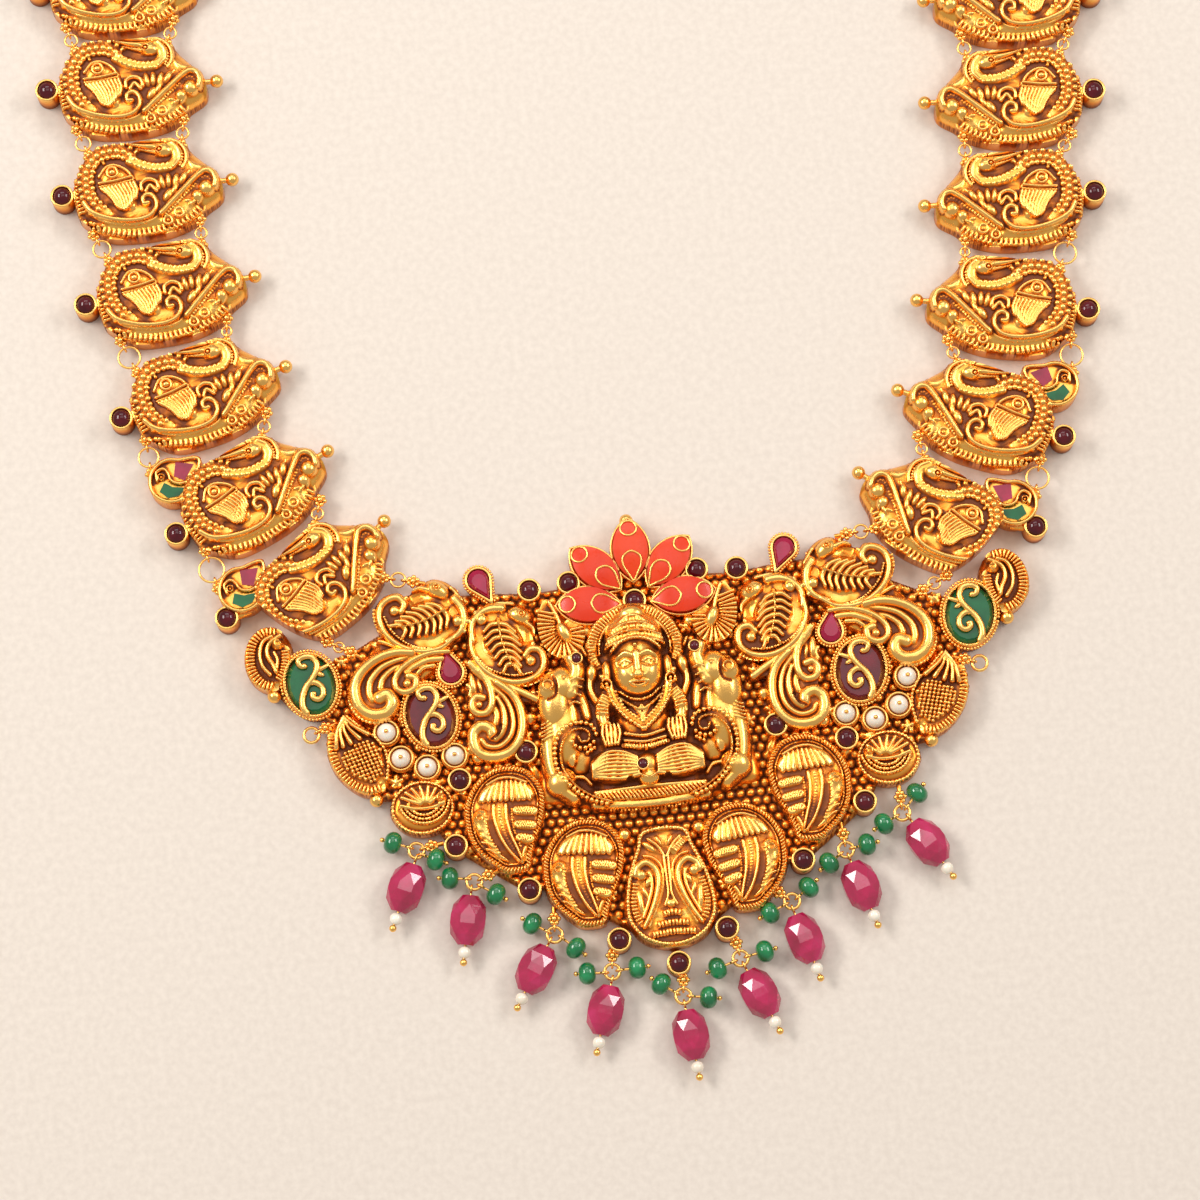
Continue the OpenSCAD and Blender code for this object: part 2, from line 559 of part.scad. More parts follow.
module outer_shells() {
    place(SHELL) {
        mound(9.4, 11, plaque_h - 1, plaque_h, 12);
        translate([1, 1.5, 0]) mound(5, 6, plaque_h, plaque_h + relief_h, 8);
    }
    place(FISH) {
        mound(8, 13.6, plaque_h - 1, plaque_h + 0.2, 12);
        translate([0, 2.6, 0]) mound(5.4, 5, plaque_h, plaque_h + relief_h * 0.8, 8);
    }
    place(CONCH) {
        mound(8.4, 10.2, plaque_h - 1, plaque_h + 0.2, 12);
        translate([-0.6, 1.8, 0]) mound(4.4, 5, plaque_h, plaque_h + relief_h, 8);
    }
    place(FEATHER) tier(pear(10.6, 7.2, 0, 7), plaque_h);
    place(FEATHER) mound(4, 6, plaque_h, plaque_h + relief_h * 0.6, 8);
}

// The elephant of the right half, on the deity's plaque; its raised trunk ends in a garnet's setting
module elephant() {
    head = [deity_w * 0.37, deity_l * 0.12];
    tip = at(TRUNK) - at(DEITY);
    translate([deity_w * 0.4, -deity_l * 0.18]) rotate(6) mound(6.4, 15.5, plaque_h + 0.6, plaque_h + 2.2);
    translate(head) mound(7.4, 9.4, plaque_h + 0.8, plaque_h + 3);
    trunk = [head + [-1.4, 0], head + [-2.2, 3], tip];
    for (i = [0, 1]) hull() {
        translate(trunk[i]) cylinder(d = 3.4 - i * 0.4, h = plaque_h + 2, $fn = 8);
        translate(trunk[i + 1]) cylinder(d = 3 - i * 0.4, h = plaque_h + 1.6, $fn = 8);
    }
}

module deity_plaque() {
    n = len(DEITY_OUTLINE);
    half = shares(DEITY_OUTLINE, deity_w, deity_l);
    face_at = [0, deity_l * 0.17];
    translate(at(DEITY)) {
        tier(concat(half, [for (i = [n - 2:-1:1]) flip(half[i])]), plaque_h);
        both_halves() elephant();
        translate(face_at) {
            mound(13.4, 16.6, plaque_h, plaque_h + 1.4, 12);
            mound(8.2, 10.4, plaque_h + 3.4, plaque_h + 5.4, 10);
            translate([0, 6]) mound(9, 6.4, plaque_h + 2.4, plaque_h + 4, 8);
        }
        translate([0, deity_l * -0.1]) mound(10.5, 12, plaque_h + 1.8, plaque_h + 3.8);
        for (e = [-1, 1]) {
            translate([e * deity_w * 0.16, deity_l * -0.27]) rotate(e * 70) mound(6, 9.4, plaque_h + 1.8,
                plaque_h + 3.6);
            translate([e * deity_w * 0.19, deity_l * -0.03]) rotate(e * 24) mound(3.2, 8.5, plaque_h + 1.6,
                plaque_h + 3.2, 8);
        }
        translate([-deity_w * 0.16, deity_l * 0.1]) mound(3.4, 4.6, plaque_h + 2, plaque_h + 3.6, 8);
        translate([deity_w * 0.17, -deity_l * 0.13]) mound(3.4, 4.6, plaque_h + 2, plaque_h + 3.6, 8);
        for (i = [0, 1]) translate([0, deity_l * (-0.38 - i * 0.06)])
            linear_extrude(plaque_h + 2 - i * 0.6) square([deity_w * (0.6 - i * 0.06), deity_l * 0.05],
                center = true);
    }
}

// An eyelet with a cluster of granules at its foot, drawn as one plain stub
module pendant_bail(a, stem) {
    cluster_d = 1.9;
    rotate(a) {
        eyelet(stem, 6);
        translate([-eyelet_r - cluster_d * 0.4, 0, 0]) cylinder(d = cluster_d, h = wire_z + 0.8, $fn = 6);
    }
}

module pendant_frame() {
    web = concat([for (p = WEB) at(p)], [for (i = [len(WEB) - 2:-1:1]) flip(at(WEB[i]))]);
    color(gold) difference() {
        union() {
            tier(web, web_h);
            both_halves() {
                for (b = BALLS) translate(at(b)) stud(ball_d, plaque_h * 0.95);
                leaf_plaques();
                outer_shells();
                place(MANGO_TOP) mango_plaque();
                place(MANGO_LOW) mango_plaque();
                translate(at(SPARE_BAIL)) pendant_bail(SPARE_BAIL[2], 2.4);
            }
            for (s = [LEFT, RIGHT], side = [0, 1]) on_side(s) translate(lower_end(s, 0, side))
                pendant_bail(ring_heading(s, 0, side), 2.4);
            both_halves() for (arm = BAIL_ARMS) tier(ribbon([at(arm[0]), at(arm[1])], 1.3, 1.1), wire_z);
            deity_plaque();
            translate(at(SHIELD)) shield_plaque();
            translate(at([0, 24.6])) stud(ball_d, plaque_h * 0.9);
            settings(collet_wall, plaque_h);
            for (d = DROPS) translate(at(d)) pendant_bail(d[2], 3.2);
        }
        translate([0, 0, plaque_h - seat_depth]) settings(0, 20);
    }
}

module pendant_garnets() {
    color("darkred") translate([0, 0, garnet_seat]) {
        both_halves() for (g = GARNETS) translate(at(g)) cabochon(garnet_d, seat_depth, dome_h);
        for (g = AXIS_GARNETS) translate(at(g)) cabochon(garnet_d, seat_depth, dome_h);
    }
}

module set_pearls() {
    color("linen") both_halves() for (p = PEARLS) translate(at(p)) translate([0, 0, garnet_seat])
        cabochon(pearl_d, seat_depth, dome_h * 1.3);
}

// A stone with a flat table: the outline stands straight to its girdle and its crown slopes in
module table_stone(pts, girdle, crown, share) {
    hull() {
        tier(pts, girdle);
        linear_extrude(girdle + crown) scale(share) polygon(pts);
    }
}

module pear_rubies() {
    color("crimson") both_halves() for (p = PEARS) place(p)
        translate([0, 0, garnet_seat]) table_stone(pear(pear_l, pear_w, 0), seat_depth, 0.5, 0.7);
}

module oval_stone(spot, side, paint) {
    color(paint) translate([side * at(spot).x, at(spot).y, garnet_seat]) rotate(-12 * side)
        table_stone(oval(oval_l, oval_w, 0), seat_depth * 0.7, seat_depth * 0.3, 0.86);
}

module coral_petal(i) {
    p = PETALS[i];
    r = (petal_l * petal_l / 4 + petal_w * petal_w / 4) / petal_w;
    dome_r = petal_l * 1.3;
    top = seat_depth + 1.5;
    color("orangered") translate([at(p).x, at(p).y, garnet_seat]) rotate(p[2] - 90) intersection() {
        translate([petal_w / 2 - r, 0, 0]) cylinder(r = r, h = top, $fn = 4 * true_fn);
        translate([r - petal_w / 2, 0, 0]) cylinder(r = r, h = top, $fn = 4 * true_fn);
        translate([0, 0, top - dome_r]) sphere(dome_r, $fn = 4 * true_fn);
    }
}

// Drops: a pin with a loop on the drop's ring carries a ruby, a pearl and a gold tip
pin_start = eyelet_in + 0.35;
ruby_from = pin_start + 0.35;
pearl_from = ruby_from + ruby_l + 0.12;
pin_end = pearl_from + drop_pearl_d + 0.12;
loop_r = eyelet_in + wire_d / 2;
neck_gap = 0.1;
neck_long = 0.55;
function emerald_from(long) = loop_r + wire_d / 2 + neck_gap + long * neck_long;

function ring_centre(d) = at(d) + drop_ring_r * dir(d[2]);
function hook_at(d, a) = ring_centre(d) + drop_ring_r * dir(a);

module along(d, a, heading) {
    p = hook_at(d, a);
    translate([p.x, p.y, wire_z]) rotate(heading) rotate([0, 90, 0]) children();
}

module pin(length, tip_d) {
    rotate([90, 0, 0]) rotate_extrude($fn = true_fn) translate([loop_r, 0]) circle(d = wire_d, $fn = true_fn);
    translate([0, 0, loop_r]) cylinder(d = wire_d, h = length - loop_r, $fn = true_fn);
    translate([0, 0, length + tip_d * 0.4]) sphere(d = tip_d, $fn = true_fn);
}

// A faceted oval bead: rings of eight corners, each ring turned half a step, with flat ends
module drop_ruby(i) {
    d = DROPS[i];
    flat = 0.44;
    color("crimson") along(d, d[3], d[4]) translate([0, 0, ruby_from]) difference() {
        scale([ruby_t / ruby_w, 1, 1]) rotate(22.5) hull() {
            cylinder(d = ruby_w * flat, h = ruby_l, $fn = 8);
            for (f = [0.2, 0.8]) translate([0, 0, ruby_l * f]) rotate(22.5)
                cylinder(d = ruby_w * 0.86, h = eps, $fn = 8);
            translate([0, 0, ruby_l * 0.42]) cylinder(d = ruby_w, h = ruby_l * 0.16, $fn = 8);
        }
        translate([0, 0, -1]) cylinder(d = bore_d, h = ruby_l + 2, $fn = true_fn);
    }
}

// A round bead of diameter d and length t along its bore
module bead(d, t) {
    round_r = min(t / 2, d / 2 - bore_d / 2);
    rotate_extrude($fn = true_fn) intersection() {
        translate([d / 2 - round_r, t / 2]) circle(round_r, $fn = 2 * true_fn);
        translate([bore_d / 2, 0]) square([d, t]);
    }
}

module drop_pearls() {
    color("linen") for (d = DROPS) along(d, d[3], d[4]) translate([0, 0, pearl_from])
        rotate_extrude($fn = true_fn) intersection() {
            translate([0, drop_pearl_d / 2]) circle(d = drop_pearl_d, $fn = 2 * true_fn);
            translate([bore_d / 2, 0]) square([drop_pearl_d, drop_pearl_d]);
        }
}

module drop_pins() {
    color(gold) for (d = DROPS) along(d, d[3], d[4]) pin(pin_end, 1.2);
}

module emerald_beads() {
    color("seagreen") for (d = DROPS, j = [5, 8]) along(d, d[j], d[j + 1])
        translate([0, 0, emerald_from(d[j + 2])]) bead(emerald_d, emerald_t);
}

module emerald_pins() {
    color(gold) for (d = DROPS, j = [5, 8]) along(d, d[j], d[j + 1])
        pin(emerald_from(d[j + 2]) + emerald_t + neck_gap, 0.8);
}

module drop_rings() {
    color(gold) {
        for (d = DROPS) translate([ring_centre(d).x, ring_centre(d).y, wire_z])
            rotate_extrude($fn = true_fn) translate([drop_ring_r, 0]) circle(d = wire_d, $fn = true_fn);
        both_halves() translate(at(SPARE_BAIL)) translate(drop_ring_r * dir(SPARE_BAIL[2]))
            translate([0, 0, wire_z]) rotate_extrude($fn = true_fn) translate([drop_ring_r, 0])
                circle(d = wire_d, $fn = true_fn);
    }
}

for (i = [0:6]) {
    at_link(LEFT, 6 - i) peacock_link(LEFT, 6 - i);
    at_link(RIGHT, 6 - i) peacock_link(RIGHT, 6 - i);
}
for (i = [0:4]) coral_petal(i);
for (i = [0:8]) drop_ruby(i);
link_garnets();
end_plate(LEFT);  // end_plate_left
end_plate(RIGHT);  // end_plate_right
back_chain(LEFT);  // back_chain_left
back_chain(RIGHT);  // back_chain_right
clasp();
jump_rings();
pendant_frame();
pendant_garnets();
pear_rubies();
oval_stone(OVAL_RUBY, -1, "maroon");  // oval_ruby_left
oval_stone(OVAL_RUBY, 1, "maroon");  // oval_ruby_right
oval_stone(OVAL_GREEN, -1, "darkgreen");  // oval_green_left
oval_stone(OVAL_GREEN, 1, "darkgreen");  // oval_green_right
set_pearls();
accents(accent_ruby(0), "crimson");  // accent_rubies
accents(accent_emerald(0), "darkgreen");  // accent_emeralds
drop_rings();
drop_pins();
drop_pearls();
emerald_beads();
emerald_pins();
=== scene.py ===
# %% [markdown]
# # A temple jewellery necklace
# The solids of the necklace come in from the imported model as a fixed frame: they say where every
# link, stone, bead and ring sits. This lesson dresses them: the cast gold gets its relief, the
# stones their settings, and every surface its finish. Lengths are in millimetres while a piece is
# modelled, and the last step of each piece turns them into metres.

# %% The frame
import json
import math
import bpy
import numpy as np
from mathutils import Matrix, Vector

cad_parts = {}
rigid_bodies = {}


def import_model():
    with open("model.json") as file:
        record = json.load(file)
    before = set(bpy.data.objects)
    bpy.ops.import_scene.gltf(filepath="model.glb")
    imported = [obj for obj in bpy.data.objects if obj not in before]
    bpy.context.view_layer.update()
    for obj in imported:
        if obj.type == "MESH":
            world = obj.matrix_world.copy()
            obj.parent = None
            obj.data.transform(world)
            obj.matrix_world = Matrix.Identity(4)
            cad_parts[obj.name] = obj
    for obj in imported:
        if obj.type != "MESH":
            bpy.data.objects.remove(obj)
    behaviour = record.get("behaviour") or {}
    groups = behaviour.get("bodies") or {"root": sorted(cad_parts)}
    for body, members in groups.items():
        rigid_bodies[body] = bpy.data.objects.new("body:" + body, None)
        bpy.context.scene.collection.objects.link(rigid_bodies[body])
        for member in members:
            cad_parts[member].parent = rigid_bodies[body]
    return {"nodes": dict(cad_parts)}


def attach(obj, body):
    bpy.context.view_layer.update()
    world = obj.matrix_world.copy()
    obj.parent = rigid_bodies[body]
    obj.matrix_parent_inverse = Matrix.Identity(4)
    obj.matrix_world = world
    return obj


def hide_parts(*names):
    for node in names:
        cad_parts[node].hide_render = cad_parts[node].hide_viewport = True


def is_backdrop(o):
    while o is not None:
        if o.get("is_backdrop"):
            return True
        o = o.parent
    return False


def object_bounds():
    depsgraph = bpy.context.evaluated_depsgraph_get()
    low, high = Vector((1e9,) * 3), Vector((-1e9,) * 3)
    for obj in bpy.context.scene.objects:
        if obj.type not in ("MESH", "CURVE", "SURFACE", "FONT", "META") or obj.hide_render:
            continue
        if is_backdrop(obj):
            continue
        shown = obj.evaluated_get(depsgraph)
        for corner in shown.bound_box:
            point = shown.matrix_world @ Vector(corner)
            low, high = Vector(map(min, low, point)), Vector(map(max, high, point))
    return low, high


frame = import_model()
cad_box = [list(corner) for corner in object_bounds()]
MM = 0.001
print("nodes in the frame:", len(frame["nodes"]))

# %% [markdown]
# ## Gold
# Antique gold is a bright metal that was dipped in a dark patina and then wiped, so the patina
# stays in the hollows. Each relief stores how deep a spot lies in an attribute called tarnish, and
# the material turns that from bright yellow over orange to brown; on the pendant's ground tarnish
# also carries painted shade. Clouds of noise vary the patina, and a finer noise bumps the skin, so
# the metal looks cast and not machined.

# %% Node helpers and the gold finish
def new_material(name):
    mat = bpy.data.materials.new(name)
    mat.use_nodes = True
    nodes, links = mat.node_tree.nodes, mat.node_tree.links
    return mat, nodes, links, nodes["Principled BSDF"]


def noise(nodes, links, scale, detail=3.0):
    where = nodes.new("ShaderNodeTexCoord")
    tex = nodes.new("ShaderNodeTexNoise")
    tex.inputs["Scale"].default_value = scale
    tex.inputs["Detail"].default_value = detail
    links.new(where.outputs["Object"], tex.inputs["Vector"])
    return tex


def ramp(nodes, links, source, stops):
    node = nodes.new("ShaderNodeValToRGB")
    while len(node.color_ramp.elements) < len(stops):
        node.color_ramp.elements.new(0.5)
    for element, (place, colour) in zip(node.color_ramp.elements, stops):
        element.position = place
        element.color = (*colour, 1)
    links.new(source, node.inputs["Fac"])
    return node


def bump(nodes, links, source, shader, strength, distance):
    node = nodes.new("ShaderNodeBump")
    node.inputs["Strength"].default_value = strength
    node.inputs["Distance"].default_value = distance
    links.new(source, node.inputs["Height"])
    links.new(node.outputs["Normal"], shader.inputs["Normal"])


CLOUDS, SKIN = 420, 2600  # noise scales in a metre: clouds of about 2 mm, a skin of 0.4 mm
CLOUD_SHARE = 0.16
SKIN_DEPTH = 0.00008


def gold_finish(name, grain):
    mat, nodes, links, shader = new_material(name)
    depth = nodes.new("ShaderNodeAttribute")
    depth.attribute_name = "tarnish"
    patches = noise(nodes, links, CLOUDS, 4)
    mix = nodes.new("ShaderNodeMath")
    mix.operation = "MULTIPLY_ADD"
    mix.inputs[1].default_value = CLOUD_SHARE
    links.new(patches.outputs["Fac"], mix.inputs[0])
    links.new(depth.outputs["Fac"], mix.inputs[2])
    tone = ramp(nodes, links, mix.outputs["Value"], [
        (0.0, (1.0, 0.62, 0.19)), (0.22, (1.0, 0.50, 0.10)), (0.45, (0.86, 0.31, 0.038)),
        (0.68, (0.44, 0.12, 0.014)), (0.95, (0.15, 0.036, 0.008))])
    links.new(tone.outputs["Color"], shader.inputs["Base Color"])
    rough = ramp(nodes, links, mix.outputs["Value"],
                 [(0.0, (0.23,) * 3), (0.5, (0.32,) * 3), (0.9, (0.55,) * 3)])
    links.new(rough.outputs["Color"], shader.inputs["Roughness"])
    metal = ramp(nodes, links, mix.outputs["Value"], [(0.45, (1,) * 3), (0.95, (0.45,) * 3)])
    links.new(metal.outputs["Color"], shader.inputs["Metallic"])
    skin = noise(nodes, links, SKIN, 3)
    bump(nodes, links, skin.outputs["Fac"], shader, grain, SKIN_DEPTH)
    return mat


def paint(obj, finish):
    obj.data.materials.clear()
    obj.data.materials.append(finish)


GOLD = gold_finish("antique gold", 0.35)
BRIGHT_GOLD = gold_finish("polished gold", 0.12)
print("made", GOLD.name, "and", BRIGHT_GOLD.name)

# %% [markdown]
# ## Drawing relief
# Cast relief is low and is seen from above, so a fine grid whose points are lifted suits it: no
# wall hides behind another. A goldsmith builds the same thing in wax from ropes, beads, domes and
# flat sheets, so the helpers are those four. Each takes a path or a place, a width and the height
# of its crest, and keeps whatever is higher.

# %% Smooth paths
def smooth(points, closed=False, step=0.22):
    """Points on a smooth line through the given ones."""
    p = np.array(points, float)
    if len(p) < 3:
        n = max(2, int(np.linalg.norm(p[-1] - p[0]) / step) + 1)
        return p[0] + (p[-1] - p[0]) * np.linspace(0, 1, n)[:, None]
    ends = (p[-1], p[0], p[1]) if closed else (2 * p[0] - p[1], 2 * p[-1] - p[-2], None)
    q = np.vstack([ends[0], p, ends[1]] + ([ends[2]] if closed else []))
    out = []
    for a, b, c, d in zip(q[:-3], q[1:-2], q[2:-1], q[3:]):
        n = max(2, int(np.linalg.norm(c - b) / step) + 1)
        for t in np.linspace(0, 1, n, endpoint=False):
            out.append(0.5 * (2 * b + (c - a) * t + (2 * a - 5 * b + 4 * c - d) * t * t
                              + (3 * b - a - 3 * c + d) * t ** 3))
    if not closed:
        out.append(p[-1])
    return np.array(out)


def spaced(path, pitch):
    """Places at an even pitch along a path, with the path's direction at each."""
    steps = np.linalg.norm(np.diff(path, axis=0), axis=1)
    run = np.concatenate([[0], np.cumsum(steps)])
    n = max(2, int(round(run[-1] / pitch)) + 1)
    s = np.linspace(0, run[-1], n)
    spots = np.stack([np.interp(s, run, path[:, 0]), np.interp(s, run, path[:, 1])], 1)
    aim = np.gradient(spots, axis=0)
    return spots, aim / np.linalg.norm(aim, axis=1)[:, None]


# %% The sheet and its tools
class Sheet:
    """A grid of heights in millimetres over a rectangle."""

    def __init__(self, x0, x1, y0, y1, step):
        self.x0, self.y0, self.step = x0, y0, step
        self.full = 1.0
        nx, ny = int(round((x1 - x0) / step)) + 1, int(round((y1 - y0) / step)) + 1
        self.X, self.Y = np.meshgrid(x0 + step * np.arange(nx), y0 + step * np.arange(ny))
        self.H = np.zeros_like(self.X)

    def window(self, low, high):
        ny, nx = self.X.shape
        a = max(0, int((low[0] - self.x0) / self.step))
        b = min(nx, int((high[0] - self.x0) / self.step) + 2)
        c = max(0, int((low[1] - self.y0) / self.step))
        d = min(ny, int((high[1] - self.y0) / self.step) + 2)
        return slice(c, max(c, d)), slice(a, max(a, b))

    def near(self, path, reach):
        """Distance to a path, how far along it and on which side, in the path's window."""
        win = self.window(path.min(0) - reach, path.max(0) + reach)
        X, Y = self.X[win], self.Y[win]
        gap, run, side = np.full(X.shape, 1e9), np.zeros(X.shape), np.zeros(X.shape)
        done = 0.0
        for a, b in zip(path[:-1], path[1:]):
            v = b - a
            size = max(float(np.hypot(*v)), 1e-6)
            t = np.clip(((X - a[0]) * v[0] + (Y - a[1]) * v[1]) / size ** 2, 0, 1)
            dx, dy = X - a[0] - t * v[0], Y - a[1] - t * v[1]
            d = np.hypot(dx, dy)
            closer = d < gap
            gap = np.where(closer, d, gap)
            run = np.where(closer, done + t * size, run)
            side = np.where(closer, np.sign(v[0] * dy - v[1] * dx), side)
            done += size
        return win, gap, run, side, done

    def raise_to(self, win, inside, z):
        self.H[win] = np.where(inside, np.maximum(self.H[win], z), self.H[win])

    def rope(self, points, wide, top, high=None, ends=(1, 1), closed=False, twist=0, flat=0.0):
        """A rounded strip: twist is the pitch of its notches, flat the share of its width that is level."""
        wide = wide * self.full
        path = smooth(points, closed)
        if closed:
            path = np.vstack([path, path[:1]])
        high = wide * 0.5 if high is None else high
        win, gap, run, side, total = self.near(path, wide / 2)
        share = run / max(total, 1e-6)
        half = wide / 2 * (ends[0] + (ends[1] - ends[0]) * share)
        q = np.clip((gap / half - flat) / (1 - flat), 0, 1)
        z = top - high * (1 - np.sqrt(1 - q ** 2))
        if twist:
            z -= high * 0.45 * np.abs(np.cos(math.pi * (run + side * gap * 0.6) / twist)) ** 3
        self.raise_to(win, gap < half, z)

    def dome(self, x, y, rx, ry, top, high, turn=0.0, power=2.0):
        reach = max(rx, ry)
        win = self.window((x - reach, y - reach), (x + reach, y + reach))
        dx, dy = self.X[win] - x, self.Y[win] - y
        c, s = math.cos(math.radians(turn)), math.sin(math.radians(turn))
        q = ((np.abs(dx * c + dy * s) / rx) ** power + (np.abs(dy * c - dx * s) / ry) ** power)
        self.raise_to(win, q < 1, top - high * (1 - np.sqrt(np.clip(1 - q, 0, 1))))

    def bead(self, x, y, r, top):
        self.dome(x, y, r, r, top, r)

    def beads(self, points, r, top, pitch=None, closed=False):
        for x, y in spaced(smooth(points, closed), pitch or 2.1 * r)[0]:
            self.bead(x, y, r, top)

    def gap_to(self, outline):
        """Signed distance to a closed outline over the whole sheet: positive inside."""
        gap = np.full(self.X.shape, 1e9)
        inside = np.zeros(self.X.shape, bool)
        for a, b in zip(outline, np.roll(outline, -1, 0)):
            v = b - a
            t = np.clip(((self.X - a[0]) * v[0] + (self.Y - a[1]) * v[1]) / max(v @ v, 1e-9), 0, 1)
            gap = np.minimum(gap, np.hypot(self.X - a[0] - t * v[0], self.Y - a[1] - t * v[1]))
            if a[1] != b[1]:
                crosses = ((a[1] > self.Y) != (b[1] > self.Y)) & (
                    self.X < (b[0] - a[0]) * (self.Y - a[1]) / (b[1] - a[1]) + a[0])
                inside ^= crosses
        return np.where(inside, gap, -gap)

    def plate(self, outline, top, edge, high):
        """A level field with a rounded edge."""
        d = self.gap_to(np.array(outline, float))
        q = np.clip(1 - d / edge, 0, 1)
        z = top - high * (1 - np.sqrt(1 - q ** 2))
        self.raise_to((slice(None), slice(None)), d > 0, z)

    def bars(self, points, length, pitch, top, high, lean=0.0, closed=False):
        """Short ribs side by side across a path."""
        path = smooth(points, closed)
        win, gap, run, side, total = self.near(path, length)
        count = max(1, round(total / pitch))
        across = gap * side
        phase = (run + across * lean) / total * count
        q = 2 * np.abs(phase - np.floor(phase) - 0.5)
        end = np.clip(gap / (length / 2), 0, 1)
        z = top - high * (1 - np.sqrt(np.clip(1 - q ** 2, 0, 1)) * np.sqrt(np.clip(1 - end ** 4, 0, 1)))
        self.raise_to(win, gap < length / 2, z)

    def groove(self, points, wide, deep):
        """A round furrow along a path; a negative depth makes a ridge."""
        win, gap = self.near(smooth(points), wide / 2)[:2]
        q = np.clip(gap / (wide / 2), 0, 1)
        self.H[win] -= deep * np.sqrt(1 - q ** 2)

    def magnify(self, x, y, reach, by):
        """Enlarges what lies round a spot, less and less out to reach."""
        dx, dy = self.X - x, self.Y - y
        q = np.clip(np.hypot(dx, dy) / reach, 0, 1)
        pull = 1 / by + (1 - 1 / by) * q ** 2 * (3 - 2 * q)
        self.H = sample(self.H, self, x + dx * pull, y + dy * pull)

    def swell(self, reach, deep):
        """Raises gaps narrower than twice reach to a little, deep, below the crests beside them."""
        full = closed_over(self.H, int(reach / self.step))
        self.H = np.maximum(self.H, blur(full, 0.3 / self.step) - deep)

    def hollow(self, x, y, rx, ry, deep, turn=0.0):
        reach = max(rx, ry)
        win = self.window((x - reach, y - reach), (x + reach, y + reach))
        dx, dy = self.X[win] - x, self.Y[win] - y
        c, s = math.cos(math.radians(turn)), math.sin(math.radians(turn))
        q = np.clip(((dx * c + dy * s) / rx) ** 2 + ((dy * c - dx * s) / ry) ** 2, 0, 1)
        self.H[win] -= deep * np.sqrt(1 - q)


def sample(field, sheet, x, y):
    """A field's value between its grid points."""
    ny, nx = field.shape
    u = np.clip((x - sheet.x0) / sheet.step, 0, nx - 1.001)
    v = np.clip((y - sheet.y0) / sheet.step, 0, ny - 1.001)
    i, j = u.astype(int), v.astype(int)
    a, b = u - i, v - j
    return (field[j, i] * (1 - a) * (1 - b) + field[j, i + 1] * a * (1 - b)
            + field[j + 1, i] * (1 - a) * b + field[j + 1, i + 1] * a * b)


def closed_over(H, k):
    """Heights with every gap narrower than 2k steps filled to the crests beside it."""
    full = H
    for pick in (np.maximum, np.minimum):
        for axis in (0, 1):
            row = full
            for shift in range(-k, k + 1):
                row = pick(row, np.roll(full, shift, axis))
            full = row
    return full


def blur(field, size):
    """A soft average over size grid steps."""
    reach = int(3 * size) + 1
    k = np.exp(-0.5 * (np.arange(-reach, reach + 1) / size) ** 2)
    k /= k.sum()
    out = np.pad(field, reach, mode="edge")
    out = np.apply_along_axis(lambda row: np.convolve(row, k, "valid"), 1, out)
    return np.apply_along_axis(lambda row: np.convolve(row, k, "valid"), 0, out)


def ring(f, x, y, r, wide, top, high=None):
    """A rope bent to a circle."""
    f.rope([(x + r * math.cos(a), y + r * math.sin(a)) for a in np.arange(0, 2 * math.pi, math.pi / 4)],
           wide, top, high, closed=True)


def moved(points, x, y):
    """Points measured from a piece's middle."""
    return [(a - x, b - y) for a, b in points]


def mirrored(half):
    """The right half of an outline, from its top to its foot, with the left one added."""
    return half + [(-x, y) for x, y in half[-2:0:-1]]


print("relief tools ready")

# %% [markdown]
# ## From a sheet to a mesh
# The grid is added at its size, its points are lifted, and what lies outside the piece's outline
# is deleted. The border is then pulled onto the outline, thinned with Decimate, and extruded down
# to the surface that the necklace lies on, so a piece is a closed solid like the casting.

# %% Grid, outline, wall and back
def alone(obj):
    bpy.ops.object.select_all(action="DESELECT")
    obj.select_set(True)
    bpy.context.view_layer.objects.active = obj


def snap(points, outline):
    """The nearest places on a closed outline."""
    best, place = np.full(len(points), 1e9), points.copy()
    for a, b in zip(outline, np.roll(outline, -1, 0)):
        v = b - a
        t = np.clip(((points - a) @ v) / max(v @ v, 1e-9), 0, 1)
        q = a + t[:, None] * v
        d = np.hypot(*(points - q).T)
        nearer = d < best
        best = np.where(nearer, d, best)
        place = np.where(nearer[:, None], q, place)
    return place


CLOTH = 0.6  # mm: a wiping cloth doesn't reach into gaps narrower than twice this
WALL_TARNISH = 0.42
WELD = 0.002  # mm: points that lie closer than this become one
CREASE, CUP_CREASE = math.radians(62), math.radians(50)  # edges bent by more stay crisp


def tarnish_of(sheet, floor):
    """How dark the gold is: patina most in narrow gaps and least on crests, more on ground below floor, which
    on the pendant's ground is painted shade.
    """
    H = sheet.H
    gap = np.clip(blur(closed_over(H, int(CLOTH / sheet.step)), 1.0) - H, 0, 0.5)
    crest = np.clip(H - blur(H, 0.5 * CLOTH / sheet.step), -0.3, 0.3)
    # ground below floor darkens: on a relief this is patina, on the pendant's ground a floor above its
    # granules makes it painted shade of the gaps between the plaques
    low = np.clip((floor - H) / 0.8, 0, 6)
    return np.clip(0.05 + 1.55 * gap - 0.5 * crest + 0.12 * low, 0, 1)


def places(mesh):
    """The mesh's points as rows of x, y and z."""
    at = np.zeros(len(mesh.vertices) * 3)
    mesh.vertices.foreach_get("co", at)
    return at.reshape(-1, 3)


def select_border():
    bpy.ops.object.mode_set(mode="EDIT")
    bpy.ops.mesh.select_mode(type="EDGE")
    bpy.ops.mesh.select_non_manifold(extend=False, use_wire=False, use_boundary=True,
                                     use_multi_face=False, use_non_contiguous=False, use_verts=False)


def chosen(mesh):
    """Which points are selected, read in object mode."""
    bpy.ops.object.mode_set(mode="OBJECT")
    picked = np.zeros(len(mesh.vertices), bool)
    mesh.vertices.foreach_get("select", picked)
    return picked


